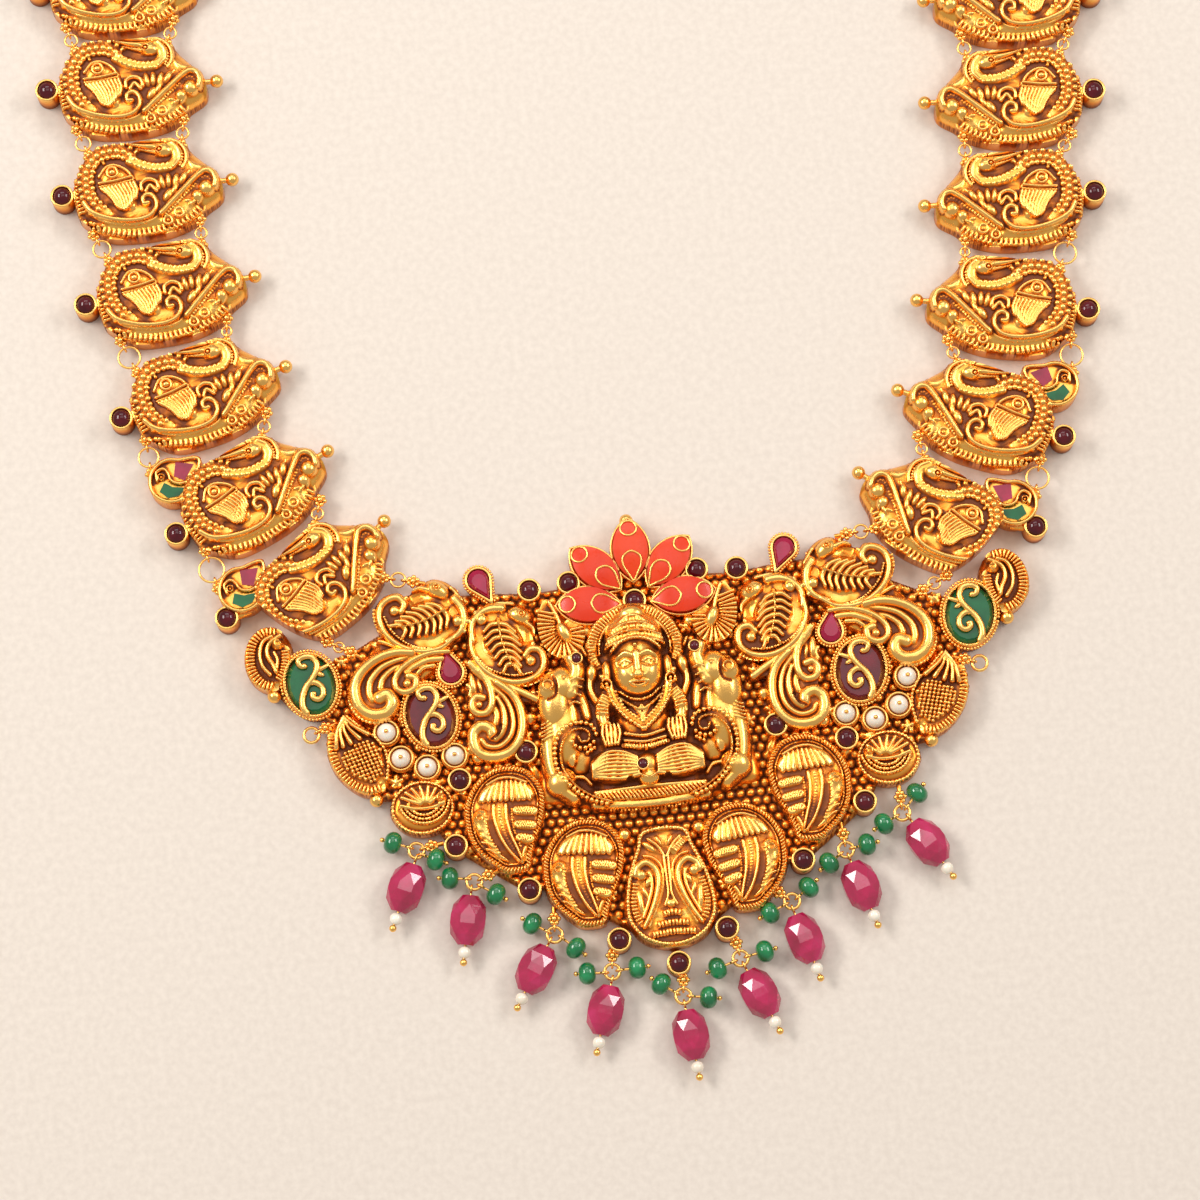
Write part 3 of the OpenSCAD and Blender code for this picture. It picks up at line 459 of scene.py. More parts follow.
def gild(obj, tarnish):
    """Stores every point's patina, painted shade too on the pendant's ground, and puts the gold on."""
    layer = obj.data.attributes.new("tarnish", "FLOAT", "POINT")
    layer.data.foreach_set("value", tarnish.astype(np.float32))
    paint(obj, GOLD)
    return obj


def cast(name, sheet, outline, keep, floor):
    """The sheet inside its outline, thinned to a share of its faces and closed down to the surface."""
    outline = np.array(outline, float)
    ny, nx = sheet.X.shape
    bpy.ops.object.select_all(action="DESELECT")
    bpy.ops.mesh.primitive_grid_add(x_subdivisions=nx - 1, y_subdivisions=ny - 1, size=1)
    obj = bpy.context.object
    obj.name = obj.data.name = name
    mesh = obj.data
    mesh.vertices.foreach_set("co", np.stack([sheet.X.ravel(), sheet.Y.ravel(), sheet.H.ravel()],
                                             1).ravel())
    # faces with two corners or more outside go, and the border moves onto the outline
    n = len(mesh.polygons)
    corners = np.zeros(n * 4, int)
    mesh.polygons.foreach_get("vertices", corners)
    outside = (sheet.gap_to(outline).ravel()[corners.reshape(n, 4)] < 0).sum(1) > 1
    bpy.ops.object.mode_set(mode="EDIT")
    bpy.ops.mesh.select_all(action="DESELECT")
    bpy.ops.mesh.select_mode(type="FACE")
    bpy.ops.object.mode_set(mode="OBJECT")
    mesh.polygons.foreach_set("select", outside)
    bpy.ops.object.mode_set(mode="EDIT")
    bpy.ops.mesh.delete(type="FACE")
    select_border()
    border = chosen(mesh)
    at = places(mesh)
    at[border, :2] = snap(at[border, :2], outline)
    mesh.vertices.foreach_set("co", at.ravel())
    thin = obj.modifiers.new("thin", "DECIMATE")
    thin.ratio = keep
    bpy.ops.object.modifier_apply(modifier=thin.name)
    # the wall and the flat back
    mesh = obj.data
    select_border()
    bpy.ops.mesh.extrude_edges_move(TRANSFORM_OT_translate={"value": (0, 0, 0)})
    lowered = chosen(mesh)
    at = places(mesh)
    at[lowered, 2] = 0
    mesh.vertices.foreach_set("co", at.ravel())
    bpy.ops.object.mode_set(mode="EDIT")
    bpy.ops.mesh.edge_face_add()
    bpy.ops.mesh.select_all(action="SELECT")
    bpy.ops.mesh.remove_doubles(threshold=WELD)
    bpy.ops.mesh.normals_make_consistent(inside=False)
    bpy.ops.object.mode_set(mode="OBJECT")
    bpy.ops.object.shade_smooth_by_angle(angle=CREASE)
    at = places(mesh)
    tarnish = sample(tarnish_of(sheet, floor), sheet, at[:, 0], at[:, 1])
    return gild(obj, np.where(at[:, 2] <= 0.01, WALL_TARNISH, tarnish))


def settle(obj, name, place=(0, 0), turn=0.0, mirror=False, copy=True):
    """A copy of a finished form, moved into the necklace and made metres in its own mesh."""
    if copy:
        obj = obj.copy()
        obj.data = obj.data.copy()
        bpy.context.collection.objects.link(obj)
    obj.name = obj.data.name = name
    move = Matrix.Translation((place[0], place[1], 0)) @ Matrix.Rotation(math.radians(turn), 4, "Z")
    if mirror:
        move = Matrix.Scale(-1, 4, (1, 0, 0)) @ move
    obj.data.transform(Matrix.Scale(MM, 4) @ move)
    if mirror:
        obj.data.flip_normals()
    return obj


def join(parts, name):
    alone(parts[0])
    for part in parts[1:]:
        part.select_set(True)
    if len(parts) > 1:
        bpy.ops.object.join()
    obj = bpy.context.object
    obj.name = obj.data.name = name
    return obj


print("meshing tools ready")

# %% [markdown]
# ## Where things are
# The tables below are the same design values that place the solids: shares of the pendant's width
# for the pendant, shares of a link's sides for a link. A row of links is chained upward: each link
# hangs from the eyelet of the one below it.

# %% Layout of the necklace
PENDANT_W, LINK_W, LINK_H, WIRE_Z = 130.0, 24.6, 16.4, 2.4


def shares(points, w, h):
    return [(x * w / 100, y * h / 100) for x, y in points]


def aim(angle):
    return np.array([math.cos(math.radians(angle)), math.sin(math.radians(angle))])


def turned(point, angle):
    c, s = aim(angle)
    return np.array([point[0] * c - point[1] * s, point[0] * s + point[1] * c])


# each link from the pendant up: its turn, then how far and which way its lower eyelet lies from
# the eyelet below it
ROWS = [[[39.5, 2.4, 166], [24.5, 1.9, 72], [13, 2.0, 74], [5, 1.6, 84], [1, 1.9, 89],
         [-1.5, 2.0, 80], [-3, 2.0, 71]],
        [[37, 2.3, 176], [23.5, 1.8, 80], [10.5, 1.9, 74], [2.5, 1.5, 98], [3, 2.1, 92],
         [3.6, 2.2, 83], [4.2, 2.2, 78]]]
# the outline and the eyelets of a link in hundredths of its width and height
LINK_OUTLINE = [[-50, 20], [-50, -18], [-42, -33], [-33, -44], [-20, -49], [8, -49], [29, -40],
                [38, -28], [50, -15], [50, 5], [42, 22], [32, 38], [29, 47], [20, 51], [-9, 51],
                [-30, 51], [-35, 46], [-42, 35]]
LINK_CORNER = [[-42, 20], [-39, -8], [-32, -32], [-22, -45]]
BAIL_TOP_IN, BAIL_TOP_OUT, BAIL_ACCENT = (26.8, 54), (-39.8, 54), (-51, 81)
BAIL_LOW_IN, BAIL_LOW_OUT = (32.8, -44.5), (-38.6, -46.5)
BAIL_LOW_OUT_LAST, BAIL_LOW_OUT_ACCENT = (-26, -52), (-49, -32)
LINK_BAIL_IN, LINK_BAIL_LOW = (28.9, 20.0), (37.6, 12.0)


def bail_place(share):
    """A place on a link from its shares of the link's sides."""
    return np.array([share[0] * LINK_W / 100, share[1] * LINK_H / 100])


def link_poses(row):
    """Place and turn of each link of a row, in the left half's frame, from the pendant up."""
    poses = []
    for k, (turn, reach, direction) in enumerate(ROWS[row]):
        if k == 0:
            below = np.array([-LINK_BAIL_IN[0], LINK_BAIL_IN[1]]) * PENDANT_W / 100
        else:
            below = poses[-1][0] + turned(bail_place(BAIL_TOP_IN), poses[-1][1])
        hook = below + reach * aim(direction)
        poses.append((hook - turned(bail_place(BAIL_LOW_IN), turn), turn))
    return poses


POSES = [link_poses(0), link_poses(1)]
for k, (spot, turn) in enumerate(POSES[0]):
    print("left link", 7 - k, "at", np.round(spot, 1), "turned", turn)

# %% [markdown]
# ## The peacock link
# Every link is the same cast bird: its neck bends back over its body, the head looks left along a
# long beak, a ribbed wing hangs in the middle, the scaly breast sweeps round it, and a smooth tail
# feather curls under it. Short ribs stand along the edge like a coin's. It is drawn once and
# copied: twelve links are alike, and the two lowest give way to the pendant at one corner.

# %% Relief of a link
def link_sheet(outline):
    f = Sheet(-13.2, 13.2, -9, 9.2, 0.135)
    f.full = 1.25
    f.plate(outline, 4.5, 3.2, 2.9)
    # ribs along the left edge and the foot
    f.bars([(-11.4, 2.9), (-11.6, 0), (-11.3, -3)], 1.8, 0.66, 4.5, 0.9)
    f.bars([(-9.2, -5.6), (-6.5, -6.5), (-3, -7.3), (0.5, -7.2), (3.6, -6.6), (6.6, -5.5), (8.6, -4.1)],
           1.7, 0.86, 4.2, 0.8)
    f.rope([(-10.2, -4.6), (-7, -5.6), (-3.2, -6.3), (0.5, -6.2), (3.2, -5.5)], 0.7, 4.2, 0.5)
    f.beads([(-10.6, -5.3), (-7.6, -6.4), (-4.5, -7.2), (-1, -7.7), (3, -7.4), (6.5, -6.2)], 0.36, 3.9,
            0.86)
    # breast and back of the neck, covered with scales
    f.rope([(-1.6, 5.2), (-3.2, 6.9), (-5.8, 7.3), (-8.2, 6.6), (-9.8, 4.6), (-10.2, 2), (-9.9, -0.6),
            (-8.6, -2.6), (-7.2, -3.4)], 3.2, 4.95, 1.1, ends=(0.75, 0.7))
    for shift, r in ((-1.05, 0.52), (0.0, 0.62), (1.05, 0.52)):
        for (x, y), (u, v) in zip(*spaced(smooth([(-1.6, 5.4), (-3.2, 6.9), (-5.8, 7.3), (-8.2, 6.6),
                                                  (-9.8, 4.6), (-10.2, 2), (-9.9, -0.6), (-8.6, -2.6)]),
                                          1.14)):
            s = 0.57 if shift else 0.0
            f.bead(x - v * shift + u * s, y + u * shift + v * s, r, 5.35 - 0.15 * abs(shift))
    # the neck's bend below the head
    f.rope([(-2.2, 5.2), (-0.6, 4.3), (1.6, 3.5), (3.8, 3.4), (5.2, 4.4), (5.4, 5.9), (4.4, 7.2)], 2.3,
           5.2, 1.5, ends=(1, 0.8))
    for (x, y), (u, v) in zip(*spaced(smooth([(-2.4, 5.3), (-0.6, 4.3), (1.6, 3.5), (3.9, 3.4)]), 0.8)):
        f.bead(x - v * 0.45, y + u * 0.45, 0.38, 5.3)
        f.bead(x + v * 0.4 + u * 0.4, y - u * 0.4 + v * 0.4, 0.38, 5.3)
    f.rope([(4.9, 3.3), (5.9, 4.6), (5.9, 6.2), (4.9, 7.5)], 0.6, 5.3, 0.5)
    # head, beak and comb
    f.groove([(-0.8, 6.0), (0.6, 5.4), (2.2, 4.7)], 1.0, 0.9)
    f.dome(3.3, 6.4, 1.9, 1.35, 5.75, 1.5, -10)
    f.rope([(3.6, 7.0), (1.6, 7.15), (-0.6, 7.55), (-2.6, 8.1)], 0.95, 5.55, 0.9, ends=(1.25, 0.35))
    f.rope([(2.2, 6.1), (0.4, 6.6), (-1.2, 7.1)], 0.6, 5.3, 0.7, ends=(1, 0.4))
    f.hollow(2.75, 6.45, 0.72, 0.6, 0.5)
    ring(f, 2.75, 6.45, 0.6, 0.26, 5.8, 0.3)
    f.bead(2.75, 6.45, 0.3, 5.85)
    f.rope([(-1.6, 8.55), (0.6, 8.35), (2.8, 8.05)], 0.55, 5.0, 0.6)
    for x, y in ((-3.3, 8.35), (-3.95, 8.0), (-4.2, 8.6)):
        f.bead(x, y, 0.38, 4.9)
    # crest round the head
    f.rope([(1.6, 8.6), (4.0, 8.35), (5.9, 7.6), (7.0, 6.1), (7.0, 4.4), (6.3, 3.0)], 0.62, 4.9, 0.6)
    f.beads([(2.4, 8.1), (4.2, 7.85), (5.5, 7.2), (6.35, 5.9), (6.4, 4.6), (5.9, 3.4)], 0.25, 5.0, 0.5)
    # wing with its shoulder, two bands and long feathers, on ground that slopes up to it
    f.dome(-5.1, 0.6, 5.0, 5.4, 4.95, 1.4)
    wing = smooth([(-8.0, 1.6), (-7.8, 3.2), (-6.6, 4.5), (-5, 4.7), (-3.2, 3.6), (-2.1, 2.0), (-1.7, 0),
                   (-1.7, -2.1), (-2.5, -3.6), (-4.0, -3.5), (-5.8, -2.1), (-7.3, -0.3)], True)
    f.plate(wing, 5.15, 1.5, 1.1)
    f.rope([(-7.9, 3.0), (-6.6, 4.5), (-5.0, 4.7), (-3.2, 3.6), (-2.1, 2.0)], 0.5, 5.2, 0.5)
    ring(f, -5.6, 3.4, 0.9, 0.42, 5.5, 0.4)
    f.dome(-5.6, 3.4, 0.62, 0.5, 5.7, 0.5)
    f.rope([(-8.0, 1.75), (-5.2, 1.9), (-2.4, 2.35)], 0.42, 5.5, 0.4)
    f.rope([(-8.0, 1.15), (-5.2, 1.3), (-2.2, 1.75)], 0.34, 5.4, 0.35)
    for k in range(10):
        t = k / 9
        top = (-7.7 + 5.6 * t, 0.75 + 0.55 * t)
        low = (-5.3 + 3.3 * t, -2.5 - 1.2 * math.sin(math.pi * min(1, t + 0.1)) + 0.9 * t)
        mid = ((top[0] + low[0]) / 2 + 0.35, (top[1] + low[1]) / 2)
        f.rope([top, mid, low], 0.5, 5.6, 0.45, ends=(1, 0.75))
    # dark crescent below the wing, then the smooth feather that curls up into an eye
    f.groove([(-6.6, -2.2), (-5.2, -3.6), (-3.2, -4.1), (-1.2, -3.6)], 0.9, 0.9)
    f.rope([(-10.9, -1.2), (-9.8, -2.9), (-7.8, -4.1), (-5, -5.0), (-2.2, -5.3), (0.0, -4.8), (1.2, -3.4),
            (1.1, -1.9), (0.1, -1.1), (-0.9, -1.6), (-0.8, -2.6), (-0.1, -2.6)], 1.15, 5.4, 1.2,
           ends=(0.8, 0.8))
    f.rope([(-10.3, -3.2), (-8, -4.75), (-5, -5.65), (-2, -5.95), (0.6, -5.4), (1.9, -4.0), (1.9, -2.4)],
           0.4, 4.7, 0.4, ends=(0.8, 1))
    # leaf tuft between the wing and the diagonal
    f.rope([(-1.0, -0.2), (-0.9, 1.0), (0.3, 1.6), (1.6, 1.0), (1.9, -0.1)], 0.75, 5.3, 0.9)
    f.rope([(-0.3, -0.5), (0.5, 0.5), (1.5, -0.6)], 0.7, 5.2, 0.8)
    for x, y, a, w in ((2.6, 0.9, -80, 0.5), (3.7, 1.0, -92, 0.5), (4.9, 0.8, -105, 0.55),
                       (3.4, -1.6, -128, 0.7), (6.2, 1.0, -122, 0.6), (4.6, -0.7, -120, 0.5)):
        f.dome(x, y, 1.5, 1.3 * w, 5.3, 1.1, a)
    f.rope([(7.4, 2.3), (5.6, 0.2), (3.6, -2.2), (2.2, -3.9)], 0.42, 4.8, 0.4)
    # smooth cheek and the long beaded diagonal
    f.plate(smooth([(7.0, 4.6), (8.6, 3.6), (10.6, 2.9), (11.5, 2.0), (9.2, 1.9), (7.6, 2.6)], True), 4.6,
            0.9, 0.6)
    f.rope([(1.9, -4.7), (4.0, -2.8), (6.4, -0.7), (8.4, 1.0), (9.9, 1.9), (11.1, 1.5), (11.6, 0.2),
            (11.3, -1.0)], 1.25, 5.6, 1.3, ends=(0.75, 0.9))
    f.beads([(2.7, -4.9), (4.8, -3.1), (7.1, -1.1), (8.9, 0.4), (10.1, 0.95), (10.7, 0.3)], 0.27, 4.9, 0.56)
    # beads, rings and leaves in the corner below it
    f.bead(9.9, -1.0, 1.5, 5.6)
    f.bead(8.2, -2.2, 1.1, 5.2)
    for x, y, a in ((7.4, -3.3, 25), (8.5, -3.0, 60), (6.6, -2.9, -10)):
        f.dome(x, y, 0.9, 0.38, 4.8, 0.6, a)
    for x, y, r in ((4.9, -4.7, 0.78), (2.9, -5.9, 0.72)):
        ring(f, x, y, r, 0.5, 4.7, 0.5)
        f.bead(x, y, 0.32, 4.6)
    f.bead(-11.3, -4.5, 0.75, 4.4)
    for x, y in ((-9.6, -4.9), (-9.0, -5.5), (-8.2, -5.4)):
        f.bead(x, y, 0.34, 4.5)
    # pebbles in the ground between the breast and the wing
    for x, y in ((-9.2, 0.4), (-8.8, -1.0), (-8.1, -2.1), (-8.6, 3.9), (-8.2, 5.0), (-6.9, 5.3)):
        f.bead(x, y, 0.36, 5.0)
    f.swell(1.5, 0.9)
    f.swell(0.6, 0.7)
    return f


def link_form(name, outline):
    outline = smooth(outline, True, 0.5)
    return cast(name, link_sheet(outline), outline, keep=0.55, floor=4.1)


link_master = link_form("link form", shares(LINK_OUTLINE, LINK_W, LINK_H))
last_master = link_form("lowest link form", shares(LINK_CORNER + LINK_OUTLINE[5:], LINK_W, LINK_H))
print("faces of a link:", len(link_master.data.polygons))

# %% [markdown]
# ## Leaf plaques
# The plaques above the scrolls are paisleys: a lobed leaf in the middle, a band that sweeps round
# its foot, and a bird's head that bends over it. The inner and the outer plaque are the same form,
# the outer one mirrored and turned, so it is drawn once.

# %% Relief of a leaf plaque
LEAF_MIDDLE = (22.3, 13.2)


def leaf_sheet(outline):
    f = Sheet(-8, 7.6, -8.2, 8.2, 0.13)
    m = lambda *points: moved(points, *LEAF_MIDDLE)
    f.plate(outline, 4.5, 6, 2.9)
    # band that sweeps round the foot and curls up at the left
    f.rope(m((27.6, 15.4), (27.8, 12.8), (26.6, 9.9), (24.2, 7.7), (21.2, 6.6), (18.4, 6.9), (16.6, 8.2),
             (16.1, 9.9), (16.7, 11.5), (18.2, 11.8), (19.1, 10.8)), 1.7, 5.2, 1.4, ends=(0.7, 1))
    f.beads(m((27.0, 11.4), (25.4, 9.4), (23.0, 8.1), (20.4, 7.6), (18.3, 7.9)), 0.24, 5.15, 0.48)
    f.beads(m((16.2, 7.1), (18.2, 6.0), (20.8, 5.9), (23.8, 6.8), (26.4, 8.9), (28.0, 11.8)), 0.32, 4.4,
            0.64)
    f.bead(*m((18.3, 9.9))[0], 1.0, 5.3)
    # head with its eye, the bent neck and the crest
    f.rope(m((27.4, 14.2), (27.4, 16.6), (26.2, 18.4), (24.2, 19.3), (22.2, 19.2)), 2.0, 5.1, 1.5,
           ends=(0.7, 1))
    f.dome(*m((19.4, 17.7))[0], 2.2, 1.5, 5.4, 1.6, 24)
    ring(f, *m((19.0, 17.8))[0], 0.5, 0.32, 5.65, 0.35)
    f.bead(*m((19.0, 17.8))[0], 0.24, 5.6)
    f.rope(m((18.4, 16.4), (17.4, 15.4), (17.2, 14.2)), 1.1, 4.9, 0.9, ends=(1, 0.5))
    f.bead(*m((25.6, 17.6))[0], 1.05, 5.4)
    f.rope(m((20.2, 19.8), (22.4, 20.1), (24.6, 19.8)), 0.6, 4.5)
    for x, y in ((16.9, 13.0), (17.6, 12.7), (27.7, 17.6), (26.6, 19.0)):
        f.bead(*m((x, y))[0], 0.42, 4.9)
    # leaf: two rows of plump lobes on a raised midrib
    leaf = smooth(m((22.4, 17.6), (24.6, 16.9), (26.0, 15.0), (26.2, 12.6), (25.0, 10.4), (22.8, 8.8),
                    (20.6, 8.6), (19.6, 10.6), (19.2, 12.8), (19.6, 15.0), (20.8, 16.8)), True)
    f.plate(leaf, 4.75, 2.6, 0.9)
    for k in range(7):
        t = k / 6
        x, y = 22.9 - 1.4 * t, 16.6 - 7.0 * t
        out = 1.0 - 0.45 * abs(t - 0.35) - 0.25 * t
        f.rope(m((x, y), (x + 1.6 * out, y - 0.1), (x + 3.0 * out, y - 1.1)), 1.36, 5.5, 0.95,
               ends=(0.85, 0.6))
        f.rope(m((x, y), (x - 1.6 * out, y - 0.5), (x - 3.0 * out, y - 1.7)), 1.36, 5.5, 0.95,
               ends=(0.85, 0.6))
    f.rope(m((22.9, 17.4), (22.8, 14.6), (22.2, 11.6), (21.0, 8.6)), 0.46, 5.75, 0.5, ends=(1, 0.6))
    f.swell(1.0, 0.78)
    return f


leaf_outline = smooth(moved([(15.2, 10.9), (15.1, 8.9), (16.1, 7.0), (18.4, 5.9), (21.4, 5.9), (24.5, 7.1),
                             (27.2, 9.5), (28.5, 12.6), (28.6, 15.8), (27.3, 18.5), (24.9, 20.0),
                             (22, 20.5), (19.2, 20.1), (17.1, 18.6), (16.6, 16.4), (17.1, 14.5),
                             (17.3, 12.7), (16.2, 12.2)], *LEAF_MIDDLE), True, 0.5)
leaf_master = cast("leaf form", leaf_sheet(leaf_outline), leaf_outline, keep=0.65, floor=4.1)
print("faces of a leaf plaque:", len(leaf_master.data.polygons))

# %% [markdown]
# ## Scrolls of acanthus
# Below each leaf plaque the leaf's stem swells into a scroll like a wave: smooth ridges, each with a
# dark line between them, that curl round a bead. These are long ropes of one sheet.

# %% Inner scroll
SCROLL_IN, SCROLL_OUT = (24, 2.4), (39.5, 9.2)


def inner_scroll_sheet(outline):
    f = Sheet(-7.8, 6.6, -9.4, 9.2, 0.14)
    m = lambda *points: moved(points, *SCROLL_IN)
    f.full = 1.4
    f.plate(outline, 3.7, 1.6, 2.0)
    f.rope(m((24.2, 6.9), (22.1, 5.0), (20.9, 2.5), (20.7, -0.6), (21.6, -3.2), (23.4, -4.9), (25.8, -5.4),
             (28.0, -4.7), (29.0, -2.9), (28.8, -1.0), (27.6, -0.1), (26.2, -0.6), (25.8, -1.8)), 1.7, 5.2,
           1.4, ends=(0.7, 1))
    f.rope(m((25.0, 6.2), (23.2, 4.2), (22.3, 1.8), (22.3, -0.7), (23.2, -2.6), (25.0, -3.8), (26.9, -3.5),
             (27.7, -2.4)), 1.05, 4.8, 0.9, ends=(0.7, 0.8))
    f.rope(m((24.4, 4.4), (23.6, 2.3), (23.6, 0.2), (24.3, -1.5), (25.4, -2.4)), 1.15, 4.8, 0.9,
           ends=(0.6, 1))
    f.rope(m((25.2, 3.2), (24.8, 1.6), (25.1, 0.2)), 0.9, 4.5, 0.7)
    for points, w, top in ((((28.3, 10.6), (26.9, 8.9), (25, 7.4), (22.9, 6.3), (20.6, 5.0), (17.9, 3.4)),
                            1.0, 4.9), (((28.0, 9.4), (26.6, 7.8), (24.6, 6.5), (22.4, 5.6)), 0.5, 4.7),
                           (((27.4, 10.6), (25.6, 8.8), (23.2, 7.6), (20.6, 6.2)), 0.5, 4.6)):
        f.rope(m(*points), w, top, w * 0.7)
    f.rope(m((26.9, 9.3), (25.8, 7.3), (25.3, 5.1), (25.5, 3.2), (26.6, 2.0), (28.0, 2.2), (28.7, 3.5),
             (28.0, 4.8), (26.8, 4.6)), 1.05, 5.0, 0.9)
    f.bead(*m((27.5, 3.5))[0], 0.62, 5.0)
    f.dome(*m((28.2, 7.0))[0], 2.1, 0.7, 4.9, 1.0, 84)
    f.dome(*m((27.1, 6.6))[0], 1.5, 0.45, 4.7, 0.8, 78)
    f.rope(m((28.9, 5.2), (28.6, 6.2), (29.1, 7.0)), 0.5, 4.6)
    f.swell(1.2, 0.75)
    f.groove(m((24.2, -0.2), (24.8, -1.6), (26, -2.4)), 0.5, 0.6)
    return f


inner_outline = smooth(moved([(24.0, 8.0), (21.5, 6.6), (19.4, 5.5), (17.0, 3.9), (17.0, 2.5), (19.3, 3.0),
                              (20.2, 3.2), (19.6, 1.2), (19.6, -1.6), (20.6, -4.0), (22.9, -5.8),
                              (25.8, -6.4), (28.6, -5.4), (30.0, -3.0), (29.8, -0.5), (28.4, 0.9),
                              (28.8, 2.0), (29.6, 3.8), (29.7, 6.0), (29.2, 8.4), (28.6, 10.9),
                              (27.0, 10.4), (25.6, 9.2)], *SCROLL_IN), True, 0.5)
inner_master = cast("inner scroll form", inner_scroll_sheet(inner_outline), inner_outline, keep=0.5,
                    floor=3.8)


# %% Outer scroll
def outer_scroll_sheet(outline):
    f = Sheet(-9.6, 10.6, -8, 8.4, 0.14)
    m = lambda *points: moved(points, *SCROLL_OUT)
    f.full = 1.4
    f.plate(outline, 3.7, 1.6, 2.0)
    f.rope(m((37.6, 13.4), (40.4, 13.7), (43.4, 13.0), (46.0, 11.3), (47.5, 8.9), (47.5, 6.4), (46.3, 4.4),
             (44.4, 3.6), (42.6, 4.0), (41.7, 5.4), (42.4, 6.7), (43.6, 6.4)), 2.1, 5.5, 1.6,
           ends=(0.6, 0.95))
    f.rope(m((37.2, 12.7), (40.2, 12.4), (43.0, 11.4), (44.9, 9.4), (45.3, 7.4), (44.9, 6.2)), 1.1, 4.9,
           0.9, ends=(0.7, 1))
    f.rope(m((38.6, 11.6), (41.0, 11.0), (42.8, 9.6), (43.4, 8.1)), 1.0, 4.8, 0.9, ends=(0.7, 1))
    f.rope(m((31.6, 12.9), (34.4, 13.0), (37.2, 12.3), (39.6, 10.9), (40.9, 9.0), (40.6, 7.5), (39.2, 6.9),
             (37.7, 7.6), (37.5, 9.0), (38.6, 9.5)), 1.3, 5.1, 1.1, ends=(0.6, 0.9))
    f.rope(m((32.8, 11.9), (35.2, 11.9), (37.4, 11.1), (38.9, 10.2)), 0.9, 4.8, 0.8)
    f.rope(m((34.3, 10.9), (36.0, 10.7), (37.0, 9.9)), 0.7, 4.6, 0.7)
    f.bead(*m((38.9, 8.3))[0], 0.8, 5.1)
    f.rope(m((36.6, 13.6), (39.6, 14.5), (42.8, 15.9)), 1.0, 4.7, 0.8, ends=(0.8, 0.6))
    f.beads(m((48.6, 8.4), (48.6, 5.8), (47.2, 3.4), (44.8, 2.3), (42.4, 2.8)), 0.34, 4.6, 0.66)
    f.swell(1.2, 0.75)
    return f


outer_outline = smooth(moved([(30.8, 13.7), (33.6, 14.1), (36.6, 14.4), (39.8, 15.6), (43.2, 16.8),
                              (43.9, 15.4), (45.6, 13.6), (47.8, 11.6), (49.3, 8.6), (49.3, 5.3),
                              (47.6, 2.7), (44.7, 1.6), (41.8, 2.2), (40.3, 4.0), (40.2, 5.9), (38.5, 6.0),
                              (36.8, 6.9), (35.8, 8.6), (34.0, 9.8), (32.4, 11.2), (30.8, 12.4)],
                             *SCROLL_OUT), True, 0.5)
outer_master = cast("outer scroll form", outer_scroll_sheet(outer_outline), outer_outline, keep=0.5,
                    floor=3.8)
print("scroll faces:", len(inner_master.data.polygons), len(outer_master.data.polygons))

# %% [markdown]
# ## Mango plaques
# A mango shape holds a bird: a ribbed skirt across the top, a plump body with a ring eye along one
# flank, a double midrib with dots that flows to the pointed foot, and hatched panels on the other
# flank. Slanted ribs and a thin line make the rim.

# %% Relief of a mango plaque
MANGO_MIDDLE = (25.1, -15.9)


